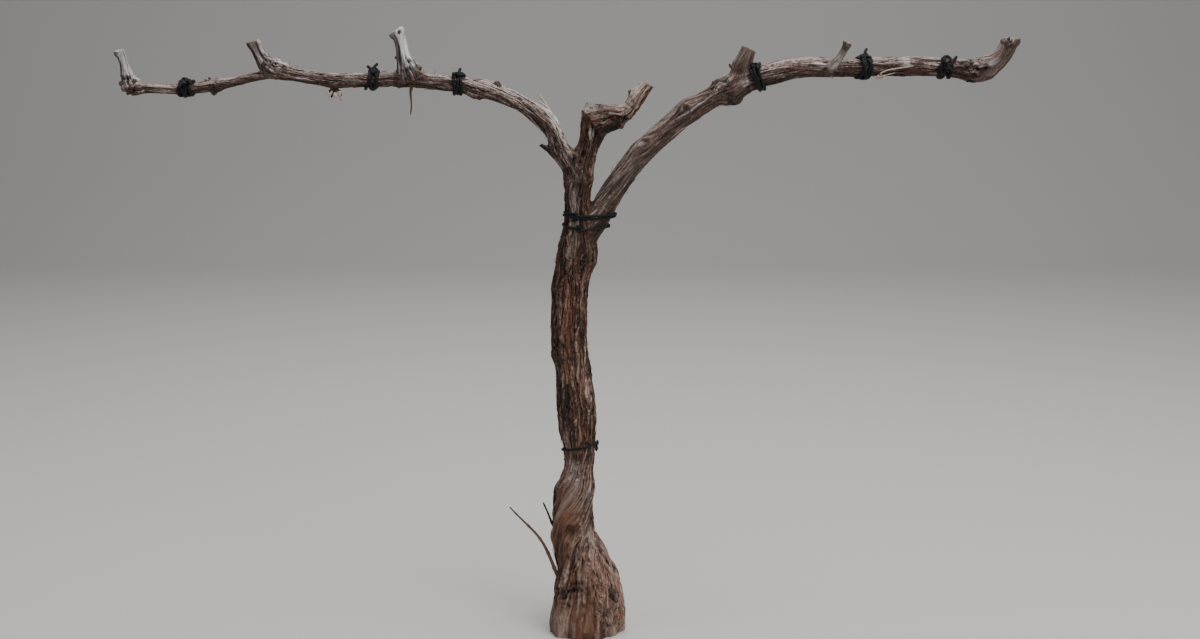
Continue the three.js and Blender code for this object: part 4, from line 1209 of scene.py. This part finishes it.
def tie_piece(name, tie, material):
    """A tie: turns of cord drawn taut round the wood, a knot, and its loose ends."""
    centre, forward, back, right, reach = girdle(tie)
    dice = np.random.default_rng(len(name) * 7 + int(tie["at"]))
    pile = Pile()
    knot = math.radians(tie["knot"])
    steps = TURN_STEPS * tie["turns"] + 1
    round_it = np.linspace(0, 2 * np.pi * tie["turns"], steps) + knot
    slant, side = tie["slant"]
    cord = tie.get("cord", CORD)
    ahead = tie["wide"] * (np.linspace(0, 1, steps) - 0.5) + slant * np.cos(round_it - math.radians(side))
    ahead = ahead + tie.get("loose", LOOSE) * np.sin(CROSSING * round_it + dice.uniform(0, 6))
    index = round_it / (2 * np.pi) * GIRDLE_STEPS
    rho = np.interp(index % GIRDLE_STEPS, np.arange(GIRDLE_STEPS + 1), np.append(reach, reach[0]))
    over = 0.5 + 0.5 * np.sin(OVERLAP_RATE * round_it + dice.uniform(0, 6))
    rho = rho + cord * (PRESSED + OVERLAP * over)
    path = centre + spoke(right, back, round_it) * rho[:, None] + forward * ahead[:, None]
    sweep(pile, path, cord * (1 + SWELLING * np.sin(SWELLING_RATE * round_it)), CORD_SIDES, TIE_LOOK)
    out = right * math.cos(knot) + back * math.sin(knot)
    sideways = np.cross(forward, out)
    wood = np.interp(knot / (2 * np.pi) % 1 * GIRDLE_STEPS, np.arange(GIRDLE_STEPS), reach)
    heart = centre + out * (wood + cord + KNOT_STAND)
    u = np.linspace(0, 2 * np.pi, LOOP_STEPS)
    for k in range(tie.get("bulk", 0) + 1):
        turn = dice.uniform(0, 2 * np.pi)
        size = LOOP_SIZE + LOOP_GROWTH * k
        x = size * (np.sin(u + turn) + 2 * np.sin(2 * u))
        y = size * (np.cos(u + turn) - 2 * np.cos(2 * u))
        z = -LOOP_DEPTH * np.sin(3 * u) + LOOP_LIFT * k
        shift = dice.uniform(-LOOP_SHIFT, LOOP_SHIFT, 2) * (k > 0)
        path = heart + np.outer(x + shift[0], forward) + np.outer(y + shift[1], sideways) + np.outer(z, out)
        sweep(pile, path, cord * KNOT_CORD, KNOT_SIDES, TIE_LOOK, ends=False)
    for ahead_by, round_by, out_by in tie["ends"]:
        tip = heart + ahead_by * forward + round_by * sideways + out_by * out
        bend = heart + 0.5 * (tip - heart) + END_BEND * out
        sweep(pile, smooth_path([heart, bend, tip]), cord * END_CORD, CORD_SIDES, TIE_LOOK)
    pile.piece(name + "_cord", material, "tie", [name])


# Materials. A mix node's sockets for colours share their names with others, and go by their numbers
MIX_A = 6
MIX_B = 7
MIX_RESULT = 2


def colour(red, green, blue):
    """A colour given as it shows on screen, from 0 to 255, as the linear one that shaders use."""
    shown = [channel / 255 for channel in (red, green, blue)]
    return [c / 12.92 if c < 0.04 else ((c + 0.055) / 1.055) ** 2.4 for c in shown] + [1.0]


class Shader:
    """A material, with short calls for the nodes that feed its surface."""

    def __init__(self, name, roughness):
        self.material = bpy.data.materials.new(name)
        self.material.use_nodes = True
        self.tree = self.material.node_tree
        self.surface = self.tree.nodes["Principled BSDF"]
        self.surface.inputs["Roughness"].default_value = roughness

    def node(self, kind, **sockets):
        node = self.tree.nodes.new(kind)
        for name, value in sockets.items():
            self.feed(value, node.inputs[name])
        return node

    def feed(self, value, socket):
        if isinstance(value, bpy.types.NodeSocket):
            self.tree.links.new(value, socket)
        else:
            socket.default_value = value

    def attribute(self, name, output="Fac"):
        node = self.node("ShaderNodeAttribute")
        node.attribute_name = name
        return node.outputs[output]

    def noise(self, vector, sizes, detail=3.0, roughness=0.55):
        stretch = self.node("ShaderNodeVectorMath")
        stretch.operation = "DIVIDE"
        self.feed(vector, stretch.inputs[0])
        stretch.inputs[1].default_value = sizes
        place = stretch.outputs[0]
        node = self.node("ShaderNodeTexNoise", Vector=place, Scale=1.0, Detail=detail, Roughness=roughness)
        return node.outputs["Fac"]

    def math(self, operation, *values):
        node = self.node("ShaderNodeMath")
        node.operation = operation
        for value, socket in zip(values, node.inputs):
            self.feed(value, socket)
        return node.outputs[0]

    def times(self, a, b):
        return self.math("MULTIPLY", a, b)

    def span(self, value, low, high):
        """The value turned to 0 at low and 1 at high."""
        node = self.node("ShaderNodeMapRange")
        self.feed(value, node.inputs["Value"])
        node.inputs["From Min"].default_value = low
        node.inputs["From Max"].default_value = high
        return node.outputs["Result"]

    def ramp(self, value, stops):
        node = self.node("ShaderNodeValToRGB")
        self.feed(value, node.inputs["Fac"])
        points = node.color_ramp.elements
        while len(points) < len(stops):
            points.new(0.5)
        for point, (place, shade) in zip(points, stops):
            point.position = place
            point.color = shade
        return node.outputs["Color"]

    def mix(self, factor, a, b):
        """Colour a, turned to b by the factor, which is kept from 0 to 1."""
        node = self.node("ShaderNodeMix")
        node.data_type = "RGBA"
        self.feed(factor, node.inputs["Factor"])
        self.feed(a, node.inputs[MIX_A])
        self.feed(b, node.inputs[MIX_B])
        return node.outputs[MIX_RESULT]

    def bump(self, height, distance):
        node = self.node("ShaderNodeBump", Height=height, Distance=distance)
        self.tree.links.new(node.outputs["Normal"], self.surface.inputs["Normal"])


# The fine grain of the bark's colours: (width, depth and length in millimetres), detail and roughness
THREADS = (0.7, 0.7, 11.0), 3.0, 0.55
STREAKS = (2.1, 2.1, 34.0), 3.0, 0.55
SPECKS = (1.3, 1.3, 3.2), 2.0, 0.55
CRUMBS = (2.0, 2.0, 3.4), 5.0, 0.65
PATCHES = (8.0, 8.0, 22.0), 4.0, 0.55

# What a grain adds to the tone: (its weight, what is taken off again)
GRAIN_WEIGHT = (0.9, 0.45)
GREY_WEIGHT = (0.7, 0.3)

# Where in a grain's range a coat of colour starts and is full, and the most that a coat covers
LIGHT_PATCHES = (0.36, 0.64)
LINE_THREADS = (0.55, 0.36)
LINE_STREAKS = (0.46, 0.34)
LINES_COVER = 0.6
GLOOM_STREAKS = (0.75, 0.35)
GLOOM_LEAST = 0.6
INNER_THREADS = (0.35, 0.6)
PALE_THREADS = (0.3, 0.5)
FLECK_SPECKS = (0.66, 0.76)
FLECKS_COVER = 0.28
BARE_COVERS = 0.85
CRACKS_COVER = 0.85

# Colours that all bark shares: flecks, painted shade in cracks, and the gloom, which is painted shade and
# also wood that is dark itself; and the depths of relief in metres
FLECK_COLOUR = (182, 162, 148)
CRACK_COLOUR = (22, 15, 12)
GLOOM_COLOUR = (24, 18, 16)
BARK_BUMP = 0.0009
STREAK_RELIEF = 1.2
TUBE_BUMP = 0.0003


def bark_material(name, shades, inner, worn, pale, roughness):
    """Fibrous bark.

    shades run from its darkest strips to its most weathered, and the tone that picks one carries painted top
    light; inner is fresh inner bark, worn holds its bare wood, and pale is its bleached wood, which also
    serves as painted highlight.
    """
    shader = Shader(name, roughness)
    grain = shader.attribute("grain", "Vector")
    kinds = (THREADS, STREAKS, SPECKS, CRUMBS, PATCHES)
    threads, streaks, specks, crumbs, patches = (shader.noise(grain, *kind) for kind in kinds)
    value = shader.attribute("tone")
    grey = shader.attribute("grey")
    weighed = [(streaks, GRAIN_WEIGHT), (grey, GREY_WEIGHT), (threads, GRAIN_WEIGHT), (crumbs, GRAIN_WEIGHT)]
    for source, (amount, middle) in weighed:
        value = shader.math("ADD", value, shader.math("MULTIPLY_ADD", source, amount, -middle))
    stops = [(i / (len(shades) - 1), colour(*shade)) for i, shade in enumerate(shades)]
    base = shader.ramp(value, stops)
    lines, wood, light_wood = (colour(*shade) for shade in worn)
    bare = shader.mix(shader.span(patches, *LIGHT_PATCHES), wood, light_wood)
    for grains, limits in [(threads, LINE_THREADS), (streaks, LINE_STREAKS)]:
        bare = shader.mix(shader.times(shader.span(grains, *limits), LINES_COVER), bare, lines)
    # The gloom: painted shade in hollows, pits, folds, under strips and on shaded sides, and wood that is
    # dark itself
    dark = shader.attribute("dark")
    gloom = shader.times(dark, shader.span(streaks, *GLOOM_STREAKS))
    gloom = shader.math("MAXIMUM", gloom, shader.times(dark, GLOOM_LEAST))
    coats = [
        (shader.times(shader.attribute("inner"), shader.span(threads, *INNER_THREADS)), colour(*inner)),
        (shader.times(shader.attribute("smooth"), BARE_COVERS), bare),
        (shader.times(shader.attribute("pale"), shader.span(threads, *PALE_THREADS)), colour(*pale)),
        (shader.times(shader.span(specks, *FLECK_SPECKS), FLECKS_COVER), colour(*FLECK_COLOUR)),
        (shader.times(shader.attribute("crack"), CRACKS_COVER), colour(*CRACK_COLOUR)),
        (gloom, colour(*GLOOM_COLOUR)),
    ]
    for factor, coat in coats:
        base = shader.mix(factor, base, coat)
    shader.feed(base, shader.surface.inputs["Base Color"])
    relief = shader.math("ADD", threads, shader.times(streaks, STREAK_RELIEF))
    shader.bump(shader.math("ADD", relief, crumbs), BARK_BUMP)
    return shader.material


# The tube's dust, and its shades from clean to dusty
DUST = (2.0, 2.0, 3.0)
TUBE_SHADES = [(0.35, (10, 10, 11)), (0.6, (20, 20, 22)), (0.78, (48, 46, 45))]
TUBE_ROUGHNESS = 0.72
TUBE_SHINE = 0.3


def tie_material():
    """Soft black tube, dusty and a little faded along its ridges."""
    shader = Shader("tie_tube", TUBE_ROUGHNESS)
    dust = shader.noise(shader.attribute("grain", "Vector"), DUST, detail=5.0)
    stops = [(place, colour(*shade)) for place, shade in TUBE_SHADES]
    shader.feed(shader.ramp(dust, stops), shader.surface.inputs["Base Color"])
    shader.surface.inputs["Specular IOR Level"].default_value = TUBE_SHINE
    shader.bump(dust, TUBE_BUMP)
    return shader.material


# The kinds of wood. worn holds the colours of bare wood: its dark lines, the wood, and its lighter patches.
# pale is bleached wood, and the same colour serves as painted highlight on lit sides and fold crests
WEATHERED_AND_HIGHLIGHT = (230, 221, 216)
BLEACHED_AND_HIGHLIGHT = (252, 249, 248)
ARM_WORN = [(44, 31, 27), (88, 66, 56), (134, 112, 102)]
WOODS = {
    "old_bark": dict(
        shades=[(17, 12, 10), (46, 32, 26), (86, 61, 50), (132, 105, 91), (178, 158, 146)],
        inner=(136, 82, 54), worn=[(66, 40, 29), (114, 72, 51), (150, 106, 80)],
        pale=WEATHERED_AND_HIGHLIGHT, roughness=0.88,
    ),
    "arm_bark": dict(
        shades=[(20, 14, 12), (46, 34, 29), (82, 64, 57), (126, 107, 100), (186, 172, 166)],
        inner=(112, 70, 48), worn=ARM_WORN, pale=WEATHERED_AND_HIGHLIGHT, roughness=0.84,
    ),
    "spur_wood": dict(
        shades=[(30, 23, 22), (72, 58, 54), (124, 110, 106), (178, 168, 166), (228, 222, 221)],
        inner=(112, 78, 60), worn=[(70, 60, 57), (150, 140, 138), (206, 199, 197)],
        pale=BLEACHED_AND_HIGHLIGHT, roughness=0.74,
    ),
    "shoot_bark": dict(
        shades=[(30, 19, 14), (62, 43, 33), (98, 73, 57), (140, 114, 95), (184, 162, 144)],
        inner=(120, 78, 56), worn=ARM_WORN, pale=WEATHERED_AND_HIGHLIGHT, roughness=0.8,
    ),
}
MATERIALS = {name: bark_material(name, **wood) for name, wood in WOODS.items()}
TUBE = tie_material()

# The pieces of bark: their wood, their skins as (stem, first, last, width and length of a face), and the
# solids that they stand for. The foot's piece reaches over the trunk's by the seam.
FOOT_TOP = 190
SEAM = 1.5
BARK_PIECES = {
    "bark_foot": ("old_bark", [("trunk", 0, FOOT_TOP, 1.0, 1.5)], ["trunk"]),
    "bark_trunk": (
        "old_bark",
        [("trunk", FOOT_TOP - SEAM, None, 0.75, 1.5), ("head", 0, None, 0.8, 1.3)],
        ["trunk", "head_stub", "head_branch", "head_spur"],
    ),
    "bark_right": (
        "arm_bark",
        [
            ("right", 0, None, 0.7, 1.5), ("shoulder_spur", 0, None, 0.7, 1.2),
            ("thin_spur", 0, None, 0.5, 1.0),
        ],
        ["right_arm", "right_cordon", "right_end_spur", "right_shoulder_spur", "right_thin_spur"],
    ),
    "bark_left": (
        "arm_bark",
        [("left", 0, None, 0.65, 1.4), ("outer", 0, None, 0.5, 1.2), ("snag", 0, None, 0.5, 0.9)],
        [
            "left_arm", "left_inner_cordon", "left_outer_cordon", "left_end_spur_base", "left_end_spur_tip",
            "fork_snag",
        ],
    ),
    "bark_left_spurs": (
        "spur_wood",
        [("outer_spur", 0, None, 0.5, 0.9), ("inner_spur", 0, None, 0.55, 0.9)],
        ["left_outer_spur", "left_inner_spur"],
    ),
}
COARSER = 1.0
for name, (wood, skins, solids) in BARK_PIECES.items():
    pile = Pile()
    for stem_name, first, last, across, step in skins:
        stem = STEMS[stem_name]
        skin(pile, stem, first, stem.length if last is None else last, across * COARSER, step * COARSER)
    pile.piece(name, MATERIALS[wood], wood, solids)

BARK_LOOK = look_of(tone=0.45, grey=0.45, inner=0.2)
DARK_LOOK = look_of(tone=0.3, grey=0.3, dark=0.6)
KNOB_LOOK = look_of(tone=0.4, grey=0.4, dark=0.1)
PALE_LOOK = look_of(tone=0.7, grey=0.8, pale=0.4)

# Loose bark in millimetres and degrees: strips are (stem, how many, span, widths, lengths, how far they stand
# off, seed, sides), flakes (stem, how many, span, largest width), hairs (stem, how many, span, lengths,
# seed), gnarls clusters of knobs (stem, distance, side, how many, reach), shards splinters (stem, route,
# radii at both ends), and buds (stem, distance, side, length, radius, lean along the stem).
LOOSE_BARK = {
    "loose_bark_trunk": dict(
        wood="old_bark",
        strips=[
            ("trunk", 430, (20, 690), (2.2, 5.2), (16, 70), 2.0, 101),
            ("trunk", 260, (190, 690), (1.5, 3.6), (7, 20), 2.4, 105),
            ("trunk", 130, (150, 690), (0.5, 1.3), (10, 30), 3, 102),
            ("trunk", 260, (4, 165), (1.8, 4.6), (10, 34), 0.9, 104, (288, 400)),
            ("head", 24, (0, 50), (1.2, 3), (10, 30), 3, 103),
        ],
        hairs=[("trunk", 44, (200, 690), (6, 16), 106)],
        gnarls=[
            ("trunk", 455, 212, 14, 9), ("trunk", 380, 218, 14, 9), ("trunk", 343, 188, 6, 6),
            ("trunk", 610, 262, 10, 9),
        ],
        shards=[("trunk", [(158, 188, -2.5), (174, 188, 0.5), (192, 192, 2.5)], (3.2, 0.5))],
    ),
    "loose_bark_arms": dict(
        wood="arm_bark",
        strips=[
            ("right", 90, (0, 575), (1.5, 3.4), (20, 70), 1.0, 111),
            ("right", 60, (0, 600), (0.4, 0.9), (10, 30), 2.2, 112),
            ("left", 100, (0, 440), (1, 3), (16, 60), 1.2, 113),
            ("left", 60, (0, 440), (0.4, 0.8), (10, 30), 2.5, 114),
            ("outer", 36, (0, 205), (0.8, 2), (12, 50), 0.8, 115),
            ("snag", 12, (0, 26), (0.6, 1.5), (8, 18), 1.5, 116),
        ],
        flakes=[
            ("outer", 40, (182, 205), 2.6), ("left", 44, (418, 455), 2.8), ("right", 56, (566, 606), 3.6),
            ("right", 40, (258, 306), 3.2), ("left", 36, (20, 80), 3),
        ],
        hairs=[("right", 26, (10, 600), (5, 12), 117), ("left", 26, (10, 440), (5, 12), 118)],
        gnarls=[
            ("right", 268, 205, 7, 8), ("right", 281, 325, 7, 7), ("right", 642, 265, 10, 6),
            ("left", 446, 250, 10, 8), ("left", 52, 240, 6, 8), ("outer", 199, 270, 12, 7),
            ("left", 176, 190, 3, 4),
        ],
        buds=[
            ("shoulder_spur", 20, 185, 3.5, 2.2, 2), ("outer", 103, 5, 3, 2, 1),
            ("outer", 108, 12, 2, 1.6, 2), ("outer", 104, 180, 4, 2, -2), ("outer", 98, 186, 4, 1.8, 3),
            ("outer_spur", 8, 195, 1, 3, 2), ("outer_spur", 6, 320, 0.5, 3, 1), ("left", 156, 352, 1, 4, 5),
            ("inner_spur", 58, 190, 2, 1.8, 1), ("inner_spur", 30, 200, 2, 1.6, 2),
            ("inner_spur", 12, 350, 0.5, 3.2, -2), ("head", 70, 200, 2, 2.6, 2), ("head", 36, 330, 1, 5, 3),
            ("right", 264, 200, 1.5, 3.4, 2),
        ],
    ),
}
FLAKE_LENGTHS = (4, 11)
FLAKE_LIFT = 1.3
FLAKE_SEED = 119
SHARD_SIDES = 5

# A hair's radius and sides, and how far it runs, bends and ends, as shares of its length or in degrees
HAIR = 0.26
HAIR_SIDES = 3
HAIR_RUN = (0.4, 1)
HAIR_BEND = 30
HAIR_MIDDLE = 0.12
HAIR_TIPS = (0.1, 0.4)

# A knob's shape, as shares of its radius, and the sizes of the knobs of a cluster in millimetres
KNOB_SIDES = 8
KNOB_FOOT = 1.15
KNOB_TAPER = 0.5
KNOB_UNEVEN = (0.85, 1.15)
KNOB_HEIGHTS = (-0.8, 1)
KNOB_WIDTHS = (1.4, 3)
KNOB_LEANS = (-4, 4)


def flakes(pile, stem_name, count, span, widest):
    """Short, broad strips that stand off a knobbly length of a stem."""
    wide = (0.4 * widest, widest)
    strips(pile, stem_name, count, span, wide, FLAKE_LENGTHS, FLAKE_LIFT, FLAKE_SEED)


def bud(pile, stem_name, distance, side, long, thick, lean, look=BARK_LOOK):
    """A small knob that stands on a stem, such as a bud, a wart or the stump of a twig."""
    dice = np.random.default_rng(round(7 * distance + side))
    middle = (distance + 0.4 * lean, side, 0.5 * long)
    route = [(distance, side, -thick), middle, (distance + lean, side, long)]
    path = smooth_path(on_bark(STEMS[stem_name], route), 5)
    shape = KNOB_FOOT - KNOB_TAPER * np.linspace(0, 1, len(path)) ** 2
    sweep(pile, path, thick * shape * dice.uniform(*KNOB_UNEVEN, len(path)), KNOB_SIDES, look)


def gnarl(pile, stem_name, distance, side, count, reach):
    """A cluster of small knobs."""
    dice = np.random.default_rng(round(distance + side))
    around = STEMS[stem_name].radii.mean()
    for _ in range(count):
        s = distance + reach * dice.uniform(-1, 1)
        turn = np.degrees(reach * dice.uniform(-1, 1) / around)
        long, thick, lean = (dice.uniform(*sizes) for sizes in (KNOB_HEIGHTS, KNOB_WIDTHS, KNOB_LEANS))
        bud(pile, stem_name, s, side + turn, long, thick, lean, KNOB_LOOK)


def hairs(pile, stem_name, count, span, long, seed):
    """Threads of bark that have come loose and curl away from a stem."""
    dice = np.random.default_rng(seed)
    for _ in range(count):
        s, side, length = dice.uniform(*span), dice.uniform(0, 360), dice.uniform(*long)
        way = dice.choice([-1, 1]) * dice.uniform(*HAIR_RUN)
        bend = dice.uniform(-HAIR_BEND, HAIR_BEND, 2)
        middle = (s + 0.5 * way * length, side + bend[0], HAIR_MIDDLE * length + 1)
        tip = (s + way * length, side + bend[1], dice.uniform(*HAIR_TIPS) * length + 1)
        path = smooth_path(on_bark(STEMS[stem_name], [(s, side, 0.5), middle, tip]), 4)
        sweep(pile, path, HAIR, HAIR_SIDES, BARK_LOOK)


def shard(pile, stem_name, route, radii):
    """A pointed splinter of bark."""
    path = smooth_path(on_bark(STEMS[stem_name], route))
    sweep(pile, path, np.linspace(*radii, len(path)), SHARD_SIDES, DARK_LOOK)


MAKERS = {"strips": strips, "flakes": flakes, "hairs": hairs, "gnarls": gnarl, "shards": shard, "buds": bud}
for name, parts in LOOSE_BARK.items():
    pile = Pile()
    for kind, maker in MAKERS.items():
        for row in parts.get(kind, []):
            maker(pile, *row)
    pile.piece(name, MATERIALS[parts["wood"]], parts["wood"])

for name, tie in TIES.items():
    tie_piece(name, tie, TUBE)

# The fruit stalk forks at this share of its solid, into knobs: (right, front, down, radius) from there
STALK_FORK = 0.35
STALK_KNOBS = [(4, 3, 9, 2.6), (-3, 1, 13, 2.0), (9, 2, 7, 2.4), (11, -1, 13, 2.6), (-5, 3, 6, 1.8)]

# Tendrils and twigs that lie on a stem: the stem, their route as (distance, side, height), and their radius
TENDRILS = [
    (
        "right",
        [
            (466, 318, 2), (463, 330, 4), (467, 342, 4), (472, 325, 2.5), (468, 306, 2.5), (474, 290, 2.5),
            (482, 283, 2), (499, 272, 2), (508, 264, 1.5),
        ],
        1.2,
    ),
    ("right", [(470, 322, 2), (478, 312, 2.5), (486, 305, 1.5)], 0.9),
    ("left", [(86, 8, -1), (98, 8, 4), (111, 10, 10)], 1.7),
    ("left", [(97, 8, 3), (104, 350, 4), (108, 340, 4)], 1.2),
]

# Dead shoots, tendrils and the old fruit stalk
JOINT_GAP = 24
JOINT_SWELLING = 0.28
JOINT_WIDTH = 0.09
SHOOT_SIDES = 9
STALK_SIDES = 8
BRANCH_SIDES = 7
STALK = 2.6
BRANCH = 1.5
TENDRIL_TIP = 0.55
shoots = Pile()


def shoot(limb_name, look):
    """A thin shoot with a swelling at each of its joints."""
    limb = LIMBS[limb_name]
    t = np.linspace(0, 1, len(limb["line"]))
    off = ((t * limb["length"] / JOINT_GAP) % 1 - 0.5) / JOINT_WIDTH
    radius = RADIUS["shoot"] * along(limb["girth"], t) * (1 + JOINT_SWELLING * bell(off))
    sweep(shoots, limb["line"], radius, SHOOT_SIDES, look)


def fruit_stalk(limb_name):
    """The dried stalk of a bunch: short dark branches that end in pale knobs."""
    line = LIMBS[limb_name]["line"]
    fork_at = round(STALK_FORK * len(line))
    fork = line[fork_at]
    sweep(shoots, line[: fork_at + 2], STALK, STALK_SIDES, DARK_LOOK)
    for right, front, down, size in STALK_KNOBS:
        tip = fork + [right, -front, -down]
        bend = 0.5 * (fork + tip) + [0.25 * down, 0, 0.2 * abs(right)]
        sweep(shoots, smooth_path([fork, bend, tip], 5), BRANCH, BRANCH_SIDES, DARK_LOOK)
        knob = [tip - [0, 0, 0.5 * size], tip, tip + [0, 0, 0.5 * size]]
        sweep(shoots, knob, [size, 1.12 * size, size], SHOOT_SIDES, PALE_LOOK)


def tendril(stem_name, route, thick):
    """A dried tendril or twig that lies along a stem. It thins towards its tip."""
    path = smooth_path(on_bark(STEMS[stem_name], route))
    sweep(shoots, path, thick * np.linspace(1, TENDRIL_TIP, len(path)), BRANCH_SIDES, PALE_LOOK)


SHOOT_LOOKS = {"foot_shoot_long": BARK_LOOK, "foot_shoot_short": DARK_LOOK, "tendril_stub": BARK_LOOK}
for limb_name, look in SHOOT_LOOKS.items():
    shoot(limb_name, look)
fruit_stalk("fruit_stalk_stub")
for stem_name, route, thick in TENDRILS:
    tendril(stem_name, route, thick)
shoots.piece("dead_shoots", MATERIALS["shoot_bark"], "shoot_bark", [*SHOOT_LOOKS, "fruit_stalk_stub"])

# Floor and backdrop: one pale sheet that sweeps up behind the plant
FLOOR_HALF = 6.0
BEND_START = 3.0
BEND_RADIUS = 1.5
WALL_TOP = 5.0
FLOOR_STEPS = 24
PAPER_COLOUR = (206, 204, 200)
PAPER_ROUGHNESS = 0.9


def sweep_floor():
    turn = np.linspace(0, np.pi / 2, FLOOR_STEPS)
    profile = [(-FLOOR_HALF, 0.0)]
    profile += [(BEND_START + BEND_RADIUS * math.sin(a), BEND_RADIUS * (1 - math.cos(a))) for a in turn]
    profile.append((BEND_START + BEND_RADIUS, WALL_TOP))
    points = [(x, y, z) for y, z in profile for x in (-FLOOR_HALF, FLOOR_HALF)]
    faces = [(2 * i, 2 * i + 1, 2 * i + 3, 2 * i + 2) for i in range(len(profile) - 1)]
    mesh = bpy.data.meshes.new("studio_floor")
    mesh.from_pydata(points, [], faces)
    mesh.polygons.foreach_set("use_smooth", [True] * len(faces))
    shader = Shader("studio_paper", PAPER_ROUGHNESS)
    shader.surface.inputs["Base Color"].default_value = colour(*PAPER_COLOUR)
    mesh.materials.append(shader.material)
    floor = bpy.data.objects.new("studio_floor", mesh)
    bpy.context.scene.collection.objects.link(floor)


def area_light(name, place, target, size, power):
    lamp = bpy.data.lights.new(name, "AREA")
    lamp.size = size
    lamp.energy = power
    light = bpy.data.objects.new(name, lamp)
    light.location = place
    light.rotation_euler = (Vector(target) - Vector(place)).to_track_quat("-Z", "Y").to_euler()
    bpy.context.scene.collection.objects.link(light)


sweep_floor()
MIDDLE = (0.0, 0.0, 0.45)
LIGHTS = [
    ("sky", (0.4, -0.4, 3.2), 2.6, 105),
    ("front", (2.0, -2.3, 2.1), 1.6, 34),
    ("side", (-2.4, -0.8, 1.4), 1.4, 5),
    ("behind", (-0.4, 2.2, 2.4), 1.6, 10),
]
for name, place, size, power in LIGHTS:
    area_light(name, place, MIDDLE, size, power)

SKY_COLOUR = (214, 218, 224)
SKY_STRENGTH = 0.22
world = bpy.data.worlds.new("studio")
world.use_nodes = True
sky = world.node_tree.nodes["Background"].inputs
sky["Color"].default_value = colour(*SKY_COLOUR)
sky["Strength"].default_value = SKY_STRENGTH
bpy.context.scene.world = world

# The camera: where the photograph was taken from, level with the arms and looking down a little
CAMERA_PLACE = (0.0185, -2.0, 0.801)
LOOKS_DOWN = 10.91
SENSOR = 36
LENS = 48
lens = bpy.data.cameras.new("camera")
lens.sensor_width = SENSOR
lens.lens = LENS
camera = bpy.data.objects.new("camera", lens)
camera.location = CAMERA_PLACE
camera.rotation_euler = (math.radians(90 - LOOKS_DOWN), 0, 0)
bpy.context.scene.collection.objects.link(camera)
bpy.context.scene.camera = camera
